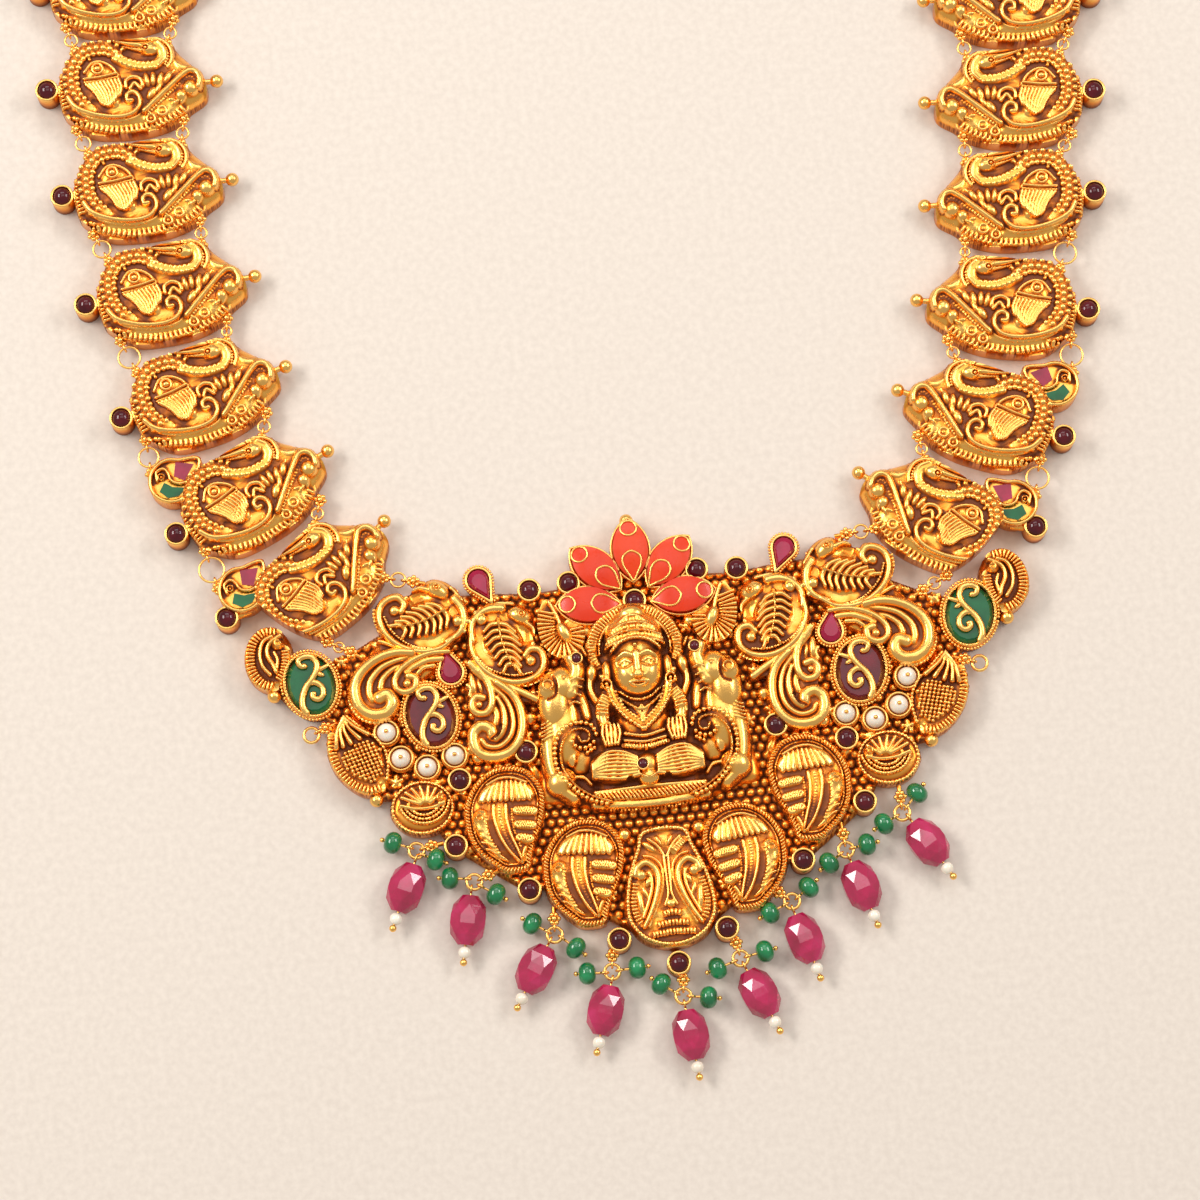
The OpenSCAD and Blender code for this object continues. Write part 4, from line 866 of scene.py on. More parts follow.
def mango_sheet(outline):
    f = Sheet(-7.4, 7.2, -9.4, 9.2, 0.13)
    m = lambda *points: moved(points, *MANGO_MIDDLE)
    f.plate(outline, 4.3, 2.8, 2.2)
    edge = m((18.9, -13), (19.4, -10.6), (21.0, -8.5), (23.6, -7.6), (26.6, -7.9), (29.3, -9.8),
             (31.0, -12.8), (31.3, -16), (30.7, -19.2), (29.1, -21.5), (27.4, -23.0), (25.6, -24.2),
             (22.6, -24.0), (22.0, -22.4), (21.2, -20), (19.7, -16.8))
    f.bars(edge, 0.95, 0.55, 4.55, 0.7, closed=True, lean=0.5)
    inner = [(x * 0.88, y * 0.9) for x, y in edge]
    f.rope(inner, 0.3, 4.45, 0.3, closed=True)
    # ribbed skirt across the top
    skirt = smooth(m((20.0, -12.6), (20.6, -10.8), (22.2, -9.8), (24.6, -9.3), (27.0, -9.6), (28.8, -11.0),
                     (29.4, -12.8), (27.2, -12.9), (24.6, -13.1), (22.2, -13.4)), True)
    f.plate(skirt, 4.9, 0.9, 0.8)
    for k in range(9):
        t = k / 8
        f.rope(m((21.4 + 5.9 * t, -10.5 + 0.8 * math.sin(math.pi * t)), (20.9 + 7.6 * t, -12.9 + 0.35 * t)),
               0.92, 5.25 - 0.5 * abs(t - 0.5), 0.5, ends=(0.55, 1))
    f.rope(m((21.2, -10.2), (23.2, -9.3), (25.4, -9.1), (27.6, -10.0)), 0.55, 5.0, 0.5)
    # bird's body with its ring eye, plump, along the left flank
    body = smooth(m((30.4, -14.6), (29.2, -13.7), (27.9, -14.2), (27.7, -15.9), (27.5, -18.4),
                    (26.6, -20.9), (25.2, -22.8), (26.6, -22.6), (28.5, -20.9), (29.9, -18.4),
                    (30.6, -16.2)), True)
    f.plate(body, 5.3, 1.6, 1.3)
    ring(f, *m((29.3, -15.3))[0], 0.55, 0.34, 5.5, 0.35)
    f.beads(m((28.3, -15.2), (28.4, -17.2), (27.8, -19.4), (26.7, -21.4)), 0.3, 5.2, 0.6)
    for k in range(4):
        f.rope(m((29.9 - 0.3 * k, -17.2 - 1.1 * k), (29.0 - 0.3 * k, -17.5 - 1.1 * k),
                 (28.3 - 0.35 * k, -18.2 - 1.1 * k)), 0.36, 5.25, 0.25)
    # double midrib with a dotted groove, from the skirt to the foot
    f.rope(m((26.9, -13.6), (27.0, -15.6), (26.4, -18.4), (25.2, -21.0), (23.6, -23.1)), 0.95, 5.45, 0.9,
           ends=(1, 0.6))
    f.beads(m((26.0, -13.8), (26.0, -16.0), (25.3, -18.8), (24.3, -21.0)), 0.24, 4.95, 0.5)
    f.rope(m((24.9, -13.7), (25.0, -15.8), (24.6, -18.4), (23.8, -20.8), (23.2, -22.6)), 0.95, 5.35, 0.9,
           ends=(1, 0.6))
    f.beads(m((24.0, -14.4), (24.1, -16.4), (23.8, -18.6), (23.2, -20.6)), 0.22, 4.9, 0.46)
    # hatched panels on the other flank
    for k, (x, y, w) in enumerate(((21.8, -15.0, 1.75), (22.0, -17.3, 1.55), (22.3, -19.5, 1.2))):
        panel = smooth(m((x - w, y + 0.1), (x - w + 0.5, y + 0.95), (x + w - 0.3, y + 1.25),
                         (x + w, y + 0.3), (x + w - 0.4, y - 0.75), (x - w + 0.7, y - 1.0)), True)
        f.plate(panel, 4.85, 0.7, 0.6)
        f.bars(m((x - w + 0.35, y - 0.1), (x, y + 0.15), (x + w - 0.3, y + 0.3)), 1.5, 0.42, 5.15, 0.4,
               lean=-0.5)
    f.rope(m((22.4, -20.9), (22.9, -22.0), (23.2, -23.2)), 0.8, 4.9, 0.7)
    f.swell(1.2, 0.55)
    return f


mango_outline = smooth(moved([(18.4, -12.8), (18.8, -10.2), (20.6, -8.0), (23.5, -7.0), (26.8, -7.3),
                              (29.8, -9.3), (31.6, -12.7), (31.9, -16.1), (31.3, -19.5), (29.5, -22.0),
                              (27.8, -23.6), (25.8, -24.8), (22.3, -24.6), (21.4, -22.7), (20.6, -20.3),
                              (19.1, -17)], *MANGO_MIDDLE), True, 0.5)
mango_master = cast("mango form", mango_sheet(mango_outline), mango_outline, keep=0.65, floor=4.0)
print("faces of a mango:", len(mango_master.data.polygons))

# %% [markdown]
# ## Shield, shells, fish and feathers
# Between the mangos hangs a shield with two birds back to back over a fan of three rows. Round
# shells, fish with a netted body, ribbed conches and small feathers fill the corners. They use the
# same ropes, beads and bars.

# %% Relief of the shield
SHIELD_MIDDLE = (0.2, -29.4)


def shield_sheet(outline):
    f = Sheet(-8.2, 8.2, -10.9, 10.1, 0.13)
    f.full = 1.3
    f.plate(outline, 4.2, 2.4, 2.1)
    edge = [(-3.0, 8.9), (3.0, 8.9), (4.4, 6.0), (6.2, 1.6), (7.0, -2.6), (6.8, -5.4), (5.2, -7.9),
            (2.8, -9.3), (0, -9.8), (-2.8, -9.3), (-5.2, -7.9), (-6.8, -5.4), (-7.0, -2.6), (-6.2, 1.6),
            (-4.4, 6.0)]
    f.rope(edge, 0.7, 4.4, 0.5, closed=True)
    f.beads(edge, 0.36, 4.75, 0.62, closed=True)
    f.bars([(-5.4, 0.8), (-6.0, -2.4), (-5.7, -5.0), (-4.4, -7.0)], 1.2, 0.6, 4.5, 0.6)
    f.bars([(5.4, 0.8), (6.0, -2.4), (5.7, -5.0), (4.4, -7.0)], 1.2, 0.6, 4.5, 0.6)
    for s in (-1, 1):
        b = lambda *points: [(s * x, y) for x, y in points]
        f.rope(b((4.7, -6.6), (3.3, -4.2), (2.1, -1.4), (1.6, 1.0), (2.1, 2.9), (3.4, 3.9), (4.7, 3.3),
                 (5.2, 2.1)), 1.15, 5.0, 1.0, ends=(0.6, 1))
        f.rope(b((4.7, -5.0), (3.7, -2.8), (2.9, -0.6), (2.7, 1.0), (3.0, 2.2)), 0.55, 4.6, 0.5)
        f.rope(b((3.9, -6.6), (2.3, -3.6), (1.2, -1.0), (0.8, 1.4), (1.1, 3.4), (2.2, 4.6), (3.6, 5.0)),
               0.4, 4.5, 0.4)
        f.bead(s * 4.3, 1.9, 0.95, 5.1)
        f.dome(s * 3.4, 0.6, 0.5, 0.9, 4.7, 0.6, s * 20)
        f.dome(s * 4.9, -2.6, 0.62, 2.3, 4.7, 0.8, s * -4)
        f.dome(s * 4.0, -1.0, 0.45, 1.3, 4.6, 0.6, s * -20)
        f.rope(b((0.35, 4.6), (0.3, 1), (0.3, -1.6), (1.0, -3.4)), 0.34, 4.6)
        f.rope(b((0.2, 4.6), (1.2, 6.4), (2.6, 7.7)), 0.42, 4.6)
        f.dome(s * 2.6, 6.4, 1.5, 0.62, 4.7, 0.8, s * 40)
        f.dome(s * 0.9, 7.2, 1.1, 0.4, 4.6, 0.6, s * 62)
    f.bars([(1.4, 5.4), (2.4, 6.3), (3.2, 7.0)], 1.3, 0.42, 4.85, 0.4)
    fan = [(0, -2.2), (1.4, -4.4), (3.2, -6.8), (4.0, -8.3), (0, -8.9), (-4.0, -8.3), (-3.2, -6.8),
           (-1.4, -4.4)]
    f.plate(fan, 4.2, 0.8, 0.5)
    for y, w in ((-4.6, 1.5), (-6.3, 2.6), (-7.8, 3.6)):
        f.bars([(-w, y - 0.25), (0, y), (w, y - 0.25)], 1.2, 0.56, 4.9, 0.6)
    f.dome(0, -3.2, 0.8, 0.8, 4.7, 0.6)
    f.swell(1.0, 0.6)
    return f


shield_outline = smooth([(-3.5, 9.4), (0, 9.55), (3.5, 9.4), (5.0, 6.0), (6.9, 1.6), (7.6, -2.6),
                         (7.4, -5.6), (5.7, -8.4), (3.0, -9.95), (0, -10.4), (-3.0, -9.95), (-5.7, -8.4),
                         (-7.4, -5.6), (-7.6, -2.6), (-6.9, 1.6), (-5.0, 6.0)], True, 0.5)
shield_master = cast("shield form", shield_sheet(shield_outline), shield_outline, keep=0.55, floor=4.0)


# %% Round shell, fish, conch and feather
def shell_sheet(outline):
    f = Sheet(-5.8, 5.8, -5.2, 5.2, 0.13)
    f.plate(outline, 3.9, 2.0, 1.9)
    f.beads([(4.9 * math.cos(a), 4.2 * math.sin(a)) for a in np.arange(0, 6.28, 0.4)], 0.34, 3.9, 0.62,
            closed=True)
    for r in (4.1, 3.4, 2.7):
        arc = [(-0.4 + r * math.cos(a), 1.2 + 0.95 * r * math.sin(a)) for a in np.arange(3.3, 6.2, 0.25)]
        f.beads(arc, 0.31, 4.6 + (4.1 - r) * 0.25, 0.56)
    f.dome(-0.2, 1.4, 3.6, 2.2, 5.0, 1.2)
    for k in range(7):
        a = math.radians(20 + 22 * k)
        f.rope([(-0.6 + 0.9 * math.cos(a), 0.2 + 0.6 * math.sin(a)),
                (-0.2 + 3.6 * math.cos(a), 1.0 + 2.3 * math.sin(a))], 0.62, 5.25, 0.4)
    f.dome(-3.1, 1.2, 1.0, 0.9, 5.3, 0.9)
    ring(f, -3.1, 1.2, 0.5, 0.3, 5.5, 0.3)
    f.rope([(-3.6, 0.4), (-1.4, -0.3), (1.2, -0.2), (3.4, 0.5)], 0.7, 5.0, 0.6)
    return f


FISH_MIDDLE, CONCH_MIDDLE, FEATHER_MIDDLE = (48.4, -2.6), (61.2, 14.8), (12.9, 14.6)


def fish_sheet(outline):
    f = Sheet(-6, 5.2, -7.4, 7.8, 0.14)
    m = lambda *points: moved(points, *FISH_MIDDLE)
    f.plate(outline, 4.1, 2.2, 2.2)
    f.bars(m((52.2, 0.9), (52.3, -2.0), (51.3, -4.9), (49.5, -7.2), (47.0, -8.6), (44.9, -8.4)), 1.6, 0.62,
           4.4, 0.7)
    f.beads(m((49.4, 4.0), (47.2, 1.9), (45.0, 0.0), (43.7, -2.2), (43.4, -4.6), (43.8, -7.0)), 0.36, 4.2,
            0.66)
    for x, y in ((46.2, 0.6), (47.6, 0.0), (49.1, -0.6), (50.4, -1.0), (51.5, -1.2)):
        f.rope(m((49.9, 4.0), ((49.9 + x) / 2 + 0.5, (4.0 + y) / 2), (x, y)), 0.95, 5.2, 0.7, ends=(0.5, 1))
    body = smooth(m((44.6, -1.6), (46.6, -0.4), (48.6, -1.0), (50.6, -1.9), (50.9, -3.6), (49.7, -5.8),
                    (47.6, -7.3), (45.4, -7.4), (44.2, -5.6), (44.1, -3.4)), True)
    f.plate(body, 4.6, 1.4, 0.8)
    # the net over the body: beads in slanted rows, kept inside its edge
    reach, heart = f.gap_to(body), m((47.4, -4.2))[0]
    for i in range(-8, 9):
        for j in range(-9, 9):
            x, y = heart[0] + 0.66 * i + 0.2 * j, heart[1] + 0.62 * j - 0.16 * i
            near = sample(reach, f, np.array([x]), np.array([y]))[0]
            if near > 0.15:
                f.bead(x, y, 0.32, 4.85 + 0.2 * min(near, 1.4))
    return f


def conch_sheet(outline):
    f = Sheet(-4.6, 4.4, -6, 6, 0.13)
    m = lambda *points: moved(points, *CONCH_MIDDLE)
    f.plate(outline, 4.0, 1.8, 2.0)
    f.bars(m((59.6, 19.3), (61.8, 19.4), (63.6, 17.9), (64.3, 15.4), (64.0, 12.8), (62.6, 10.9),
             (60.9, 10.2)), 1.9, 0.62, 4.7, 0.8)
    f.bars(m((58.4, 16.2), (58.5, 14.4), (59.0, 12.6), (60.0, 11.2)), 1.6, 0.56, 4.7, 0.7)
    f.rope(m((60.4, 18.6), (61.9, 17.8), (62.6, 15.8), (62.3, 13.8), (61.2, 12.2)), 0.8, 5.2, 0.8)
    f.rope(m((59.0, 18.6), (60.9, 17.4), (61.4, 15.6), (60.6, 13.8), (60.2, 12.6)), 0.9, 5.2, 0.8)
    f.rope(m((60.2, 15.9), (59.8, 14.6), (60.0, 13.2)), 0.6, 4.9)
    f.dome(*m((59.6, 17.2))[0], 1.1, 1.0, 5.1, 0.9)
    ring(f, *m((59.5, 17.3))[0], 0.5, 0.32, 5.3, 0.3)
    return f


def feather_sheet(outline):
    f = Sheet(-4.4, 4.2, -5.6, 5.9, 0.13)
    m = lambda *points: moved(points, *FEATHER_MIDDLE)
    f.plate(outline, 3.8, 1.6, 1.6)
    f.bars(m((14.8, 18.0), (15.4, 15.6), (14.9, 13.0), (13.2, 11.4), (11.2, 11.6), (10.3, 13.2),
             (10.4, 14.8)), 3.9, 0.66, 4.7, 0.75)
    f.dome(*m((12.3, 14.1))[0], 1.15, 2.0, 5.3, 1.3, -24)
    f.rope(m((14.3, 19.4), (13.4, 17.4), (12.8, 15.6)), 0.9, 4.8, 0.8)
    return f


shell_outline = smooth([(5.4 * math.cos(a), 4.6 * math.sin(a)) for a in np.arange(0, 6.28, 0.5)], True, 0.5)
fish_outline = smooth(moved([(49.7, 4.7), (51.6, 3.2), (52.9, 0.9), (53.2, -2.0), (52.3, -5.0),
                             (50.4, -7.5), (47.8, -9.3), (45.1, -9.4), (43.3, -7.8), (42.8, -5.2),
                             (43.1, -2.6), (44.4, -0.4), (46.4, 1.6), (48.2, 3.6)], *FISH_MIDDLE), True,
                      0.5)
conch_outline = smooth(moved([(59.6, 20.0), (62.0, 20.1), (64.1, 18.4), (65.2, 15.5), (64.9, 12.4),
                              (63.2, 10.3), (60.8, 9.5), (59.0, 10.6), (58.0, 12.6), (57.5, 14.9),
                              (57.3, 16.8), (58.2, 18.8)], *CONCH_MIDDLE), True, 0.5)
feather_outline = smooth(moved([(14.6, 20.0), (16.0, 18.3), (16.6, 15.4), (16.0, 12.4), (14.4, 10.3),
                                (12.2, 9.7), (10.1, 10.6), (9.0, 12.8), (9.2, 14.9), (10.8, 16.2),
                                (12.6, 17.8)], *FEATHER_MIDDLE), True, 0.5)
shell_master = cast("shell form", shell_sheet(shell_outline), shell_outline, keep=0.6, floor=3.9)
fish_master = cast("fish form", fish_sheet(fish_outline), fish_outline, keep=0.55, floor=4.0)
conch_master = cast("conch form", conch_sheet(conch_outline), conch_outline, keep=0.6, floor=3.9)
feather_master = cast("feather form", feather_sheet(feather_outline), feather_outline, keep=0.6, floor=3.8)
print("corner pieces:", [len(o.data.polygons) for o in (shield_master, shell_master, fish_master,
                                                        conch_master, feather_master)])

# %% [markdown]
# ## The seated deity and the elephants
# The middle of the pendant is the highest relief: a seated goddess under a ribbed halo with a tall
# crown, two raised hands with lotus buds, striped cloth over the knees, and an elephant on each
# side with its trunk lifted. The face is calm and general, set out on the usual proportions: eyes
# at half the head's height, the nose a third of what is below them, the mouth a little under it.

# %% Relief of the deity
DEITY_AXIS = -1.04
HIGHEST = 9.35


def deity_sheet(outline):
    f = Sheet(-19, 19, -18.4, 18.4, 0.155)
    f.plate(outline, 3.6, 1.6, 2.2)

    def both(draw):
        for s in (-1, 1):
            draw(s, lambda *points: [(s * x, y) for x, y in points])

    # halo and crown
    f.dome(0, 10.6, 8.0, 7.0, 5.2, 1.6)
    f.bars([(7.0 * math.cos(a), 10.2 + 6.4 * math.sin(a)) for a in np.arange(-0.5, 3.7, 0.3)], 1.9, 0.56,
           5.6, 0.6)
    f.rope([(7.9 * math.cos(a), 10.2 + 7.2 * math.sin(a)) for a in np.arange(-0.6, 3.8, 0.3)], 0.6, 5.2,
           0.5)
    f.rope([(5.7 * math.cos(a), 10.2 + 5.5 * math.sin(a)) for a in np.arange(-0.3, 3.5, 0.3)], 0.55, 5.9,
           0.5)
    f.dome(0, 12.2, 4.9, 4.3, 7.6, 3.0)
    f.dome(0, 15.6, 2.3, 1.6, 7.0, 1.6)
    for y, w, top in ((15.2, 2.0, 7.3), (13.8, 3.3, 7.7), (12.2, 4.2, 8.1), (10.7, 4.5, 8.4)):
        f.rope([(-w, y - 1.0), (-w * 0.5, y - 0.2), (0, y), (w * 0.5, y - 0.2), (w, y - 1.0)], 0.55, top,
               0.5)
    for y, w, top in ((14.5, 2.5, 7.4), (13.0, 3.6, 7.8), (11.4, 4.2, 8.1)):
        f.bars([(-w, y - 0.9), (-w * 0.5, y - 0.2), (0, y), (w * 0.5, y - 0.2), (w, y - 0.9)], 0.9, 0.55,
               top, 0.4)
    # raised trunks, heads and bodies of the elephants
    def elephant(s, b):
        f.dome(s * 13.0, -2.0, 3.7, 7.0, 6.6, 2.6, s * 5)
        f.dome(s * 14.0, 2.6, 2.9, 5.2, 7.2, 2.4, s * 3)
        f.dome(s * 12.6, 5.0, 3.0, 3.2, 7.5, 2.6, s * 20)
        f.rope(b((11.4, 3.6), (10.6, 5.4), (10.0, 7.4), (10.6, 9.2)), 3.4, 7.2, 2.4, ends=(1.1, 0.85))
        f.rope(b((10.2, 3.4), (9.4, 1.4), (9.0, -0.8)), 2.4, 6.4, 1.8, ends=(1, 0.7))
        f.rope(b((11.9, 3.0), (11.3, 0.8), (11.2, -1.4)), 1.6, 6.6, 1.4)
        f.rope(b((14.9, -1.0), (15.6, -4.6), (15.6, -8.2), (14.8, -11.4), (12.6, -13.6)), 3.8, 6.2, 2.4,
               ends=(1, 0.75))
        f.dome(s * 14.4, -10.9, 2.6, 2.4, 6.8, 1.9, s * -30)
        f.dome(s * 15.1, 4.6, 1.5, 1.9, 7.7, 1.4, s * 16)
        f.groove(b((13.9, 6.4), (13.5, 4.8), (13.9, 3.2), (15.1, 2.6)), 0.5, 0.45)
        ring(f, s * 14.9, 5.0, 0.8, 0.36, 7.9, 0.3)
        f.bead(s * 12.2, 5.9, 0.28, 7.75)
        for k in range(4):
            f.rope(b((9.1 + 0.3 * k, 5.4 - 1.3 * k), (10.1 + 0.2 * k, 5.8 - 1.3 * k),
                     (11.0 + 0.2 * k, 5.5 - 1.3 * k)), 0.42, 7.3 - 0.12 * k, 0.3)
        for k in range(5):
            f.rope(b((13.2, -1.0 - 0.55 * k), (15.0, -0.8 - 0.6 * k), (16.8, -1.4 - 0.6 * k)), 0.42, 6.3,
                   0.3)
        f.rope(b((8.2, 9.6), (8.9, 10.9), (10.2, 11.2), (11.3, 10.4)), 0.5, 6.6, 0.5)
    both(elephant)
    # body, arms and jewellery
    f.dome(0, -1.8, 4.6, 5.2, 7.0, 3.2)
    f.dome(0, 2.9, 2.3, 2.4, 6.4, 2.4)

    def arms(s, b):
        f.dome(s * 5.0, 1.6, 2.0, 1.9, 6.9, 2.2)
        f.rope(b((5.0, 2.4), (6.2, 0.6), (6.5, -1.4), (6.0, -3.2)), 2.4, 6.9, 2.1)
        f.bars(b((5.2, 2.4), (6.2, 0.8), (6.5, -0.8)), 2.3, 0.56, 7.1, 0.6)
        f.rope(b((6.1, -2.6), (5.9, -4.4), (4.6, -5.4)), 2.1, 7.0, 2.0)
        f.bars(b((6.2, -2.8), (6.0, -4.0), (5.2, -5.0)), 2.0, 0.6, 7.2, 0.5)
        f.dome(s * 5.4, -4.3, 2.0, 2.1, 7.5, 2.2)
        for k in range(5):
            f.rope(b((4.2 + 0.62 * k, -2.7), (4.0 + 0.72 * k, -4.3), (4.5 + 0.5 * k, -6.0)), 0.5,
                   7.75 - 0.12 * abs(k - 2), 0.35)
        f.rope(b((7.0, 1.4), (8.0, 3.8), (7.7, 6.4)), 1.6, 6.0, 1.4)
        f.dome(s * 7.4, 6.6, 1.2, 1.7, 6.4, 1.4, s * 12)
        # garland over the breast, and the beads that fall from the ears
        f.rope(b((4.4, 3.4), (3.9, 1.0), (2.2, -1.4), (0, -3.2)), 1.5, 7.3, 0.9)
        f.beads(b((4.9, 3.6), (4.4, 0.9), (2.6, -1.8), (0.2, -3.8)), 0.4, 7.7, 0.78)
        f.beads(b((3.6, 3.0), (3.0, 0.8), (1.6, -1.2), (0, -2.6)), 0.3, 7.5, 0.6)
        f.dome(s * 4.6, 6.2, 0.9, 2.0, 7.3, 1.6)
        ring(f, s * 4.9, 4.3, 0.85, 0.55, 7.3, 0.6)
        f.bead(s * 4.9, 4.3, 0.4, 7.3)
        for x, y in ((4.0, 3.7), (4.9, 3.3), (5.8, 3.9), (5.7, 5.6)):
            f.bead(s * x, y, 0.46, 7.0)
    both(arms)
    f.rope([(-3.0, 3.0), (-1.6, 1.9), (0, 1.5), (1.6, 1.9), (3.0, 3.0)], 0.6, 7.3, 0.5, twist=0.5)
    f.rope([(-2.6, 3.8), (-1.2, 2.9), (0, 2.7), (1.2, 2.9), (2.6, 3.8)], 0.5, 7.2, 0.5)
    f.rope([(-3.0, 1.8), (-1.6, 0.4), (0, -0.4), (1.6, 0.4), (3.0, 1.8)], 0.5, 7.5, 0.4)
    f.bead(0, 0.2, 0.4, 7.6)
    for k in range(4):
        f.rope([(-1.9 + 0.5 * k, 1.0 - 0.3 * k), (-0.9 + 0.3 * k, -0.6 - 0.5 * k), (0, -2.2)], 0.3, 7.3,
               0.2)
        f.rope([(1.9 - 0.5 * k, 1.0 - 0.3 * k), (0.9 - 0.3 * k, -0.6 - 0.5 * k), (0, -2.2)], 0.3, 7.3, 0.2)
    f.rope([(-3.2, -4.4), (0, -5.0), (3.2, -4.4)], 0.6, 7.4, 0.5)
    f.bars([(-3.6, -6.3), (0, -6.8), (3.6, -6.3)], 0.9, 0.5, 7.4, 0.5)
    f.rope([(-3.4, -5.5), (0, -6.0), (3.4, -5.5)], 0.5, 7.3, 0.4)
    # head and face
    f.dome(0, 6.9, 4.1, 5.2, 8.8, 4.4, power=2.3)
    f.rope([(-3.6, 9.0), (-2.0, 10.3), (0, 10.7), (2.0, 10.3), (3.6, 9.0)], 0.7, 8.7, 0.5, twist=0.55)
    f.hollow(-1.6, 7.0, 1.25, 0.85, 0.5)
    f.hollow(1.6, 7.0, 1.25, 0.85, 0.5)
    for s in (-1, 1):
        f.groove([(s * 0.6, 7.9), (s * 1.6, 8.4), (s * 2.9, 7.8)], 0.5, -0.26)
        f.groove([(s * 0.8, 7.0), (s * 1.6, 7.36), (s * 2.5, 6.95)], 0.42, -0.34)
        f.groove([(s * 0.85, 6.9), (s * 1.6, 6.6), (s * 2.4, 6.88)], 0.34, -0.24)
        f.hollow(s * 1.6, 6.95, 0.3, 0.22, -0.3)
        f.hollow(s * 2.2, 5.0, 1.35, 1.5, -0.3)
        f.hollow(s * 0.6, 5.15, 0.42, 0.36, -0.3)
    f.groove([(0, 8.1), (0, 6.6), (0, 5.3)], 1.0, -0.5)
    f.hollow(0, 5.25, 0.66, 0.55, -0.42)
    f.groove([(-1.15, 4.15), (-0.45, 4.4), (0, 4.28), (0.45, 4.4), (1.15, 4.15)], 0.44, -0.34)
    f.groove([(-0.9, 3.9), (0, 3.62), (0.9, 3.9)], 0.55, -0.36)
    f.groove([(-1.0, 4.06), (0, 4.04), (1.0, 4.06)], 0.22, 0.3)
    f.hollow(0, 2.75, 1.0, 0.65, -0.3)
    f.bead(0, 9.4, 0.36, 9.0)
    f.H = np.minimum(f.H, HIGHEST)
    # knees under striped cloth, the lap and the seat
    both(lambda s, b: f.dome(s * 5.4, -9.4, 4.1, 3.0, 7.2, 2.6, s * 6))

    def stripes(s, b):
        for k in range(8):
            f.rope(b((1.7, -8.4 - 0.42 * k), (4.0, -7.3 - 0.62 * k), (6.6, -7.2 - 0.6 * k),
                     (9.0, -8.9 - 0.3 * k)), 0.6, 7.45 - 0.05 * abs(k - 3), 0.42)
        f.hollow(s * 3.1, -12.3, 0.75, 0.8, 3.0)
    both(stripes)
    f.dome(0, -9.6, 2.2, 2.0, 6.9, 1.6)
    f.dome(0, -11.6, 1.9, 1.5, 7.1, 1.4)
    f.rope([(-1.6, -11.2), (0, -11.9), (1.6, -11.2)], 0.4, 7.3, 0.3)
    f.rope([(-9.0, -13.4), (0, -13.2), (9.0, -13.4)], 1.0, 6.0, 0.9)
    f.bars([(-8.6, -14.1), (0, -14.4), (8.6, -14.1)], 1.7, 0.66, 6.2, 0.8, lean=0.6)
    f.rope([(-9.2, -15.3), (0, -15.9), (9.2, -15.3)], 1.5, 5.6, 1.0, flat=0.3)
    f.bars([(-8.4, -16.5), (0, -17.2), (8.4, -16.5)], 1.3, 0.6, 5.0, 0.8)
    # coiled wire with granules on each elephant
    def coil(s, b):
        f.dome(s * 11.2, -6.4, 2.7, 3.6, 5.0, 1.2)
        f.rope(b((6.6, -15.2), (9.6, -13.9), (12.2, -11.8), (13.9, -8.8), (13.9, -5.6), (12.6, -3.4),
                 (10.8, -2.6), (9.2, -3.2), (9.2, -4.6), (10.4, -4.8), (10.8, -3.9)), 0.5, 6.9, 0.9)
        f.beads(b((7.4, -15.5), (10.4, -14.2), (13.0, -11.8), (14.8, -8.8), (14.8, -5.2), (13.4, -2.6),
                  (11.0, -1.6), (8.6, -2.2), (7.9, -3.8)), 0.42, 6.9, 0.84)
        f.beads(b((8.4, -5.0), (9.6, -5.8), (11.2, -5.6), (11.9, -4.6)), 0.4, 6.6, 0.8)
        f.beads(b((8.4, -5.9), (9.6, -6.6)), 0.36, 6.2, 0.8)
        f.dome(s * 12.4, -6.9, 1.1, 1.9, 5.8, 0.9)
        f.rope(b((9.6, -11.8), (10.6, -10.6), (12.0, -10.4)), 0.7, 5.6, 0.6)
    both(coil)
    # the head a little larger than it was drawn, as in the photo
    f.magnify(0, 6.4, 9.0, 1.3)
    f.swell(0.7, 1.3)
    return f


DEITY_W, DEITY_H = 37, 35
DEITY_OUTLINE = [[0, 51], [12, 49], [18, 41], [22, 32], [29, 28], [36, 25], [43, 20], [47, 13], [45, 2],
                 [46, -11], [48, -23], [50, -33], [48, -40], [36, -42], [24, -46], [0, -48.5]]
deity_outline = smooth(mirrored(shares(DEITY_OUTLINE, DEITY_W, DEITY_H)), True, 0.6)
deity_master = cast("deity form", deity_sheet(deity_outline), deity_outline, keep=0.75, floor=5.0)
print("faces of the deity:", len(deity_master.data.polygons))

# %% [markdown]
# ## Small parts in wire and sheet
# What stands free is built from wire, sheet and balls, as at the bench: a wire is a curve with a
# round section, a cup is a disc raised and hollowed, a ball is an ico sphere. Each is modelled once
# and copied. The lower a spot, the less a cloth reaches it, so its height sets its patina.

# %% Wire, cup, ball and copies
def patina(obj, floor, span=1.6):
    """Patina by height for parts that no sheet describes: full from span below floor."""
    return gild(obj, np.clip((floor - places(obj.data)[:, 2]) / span, 0, 0.8))


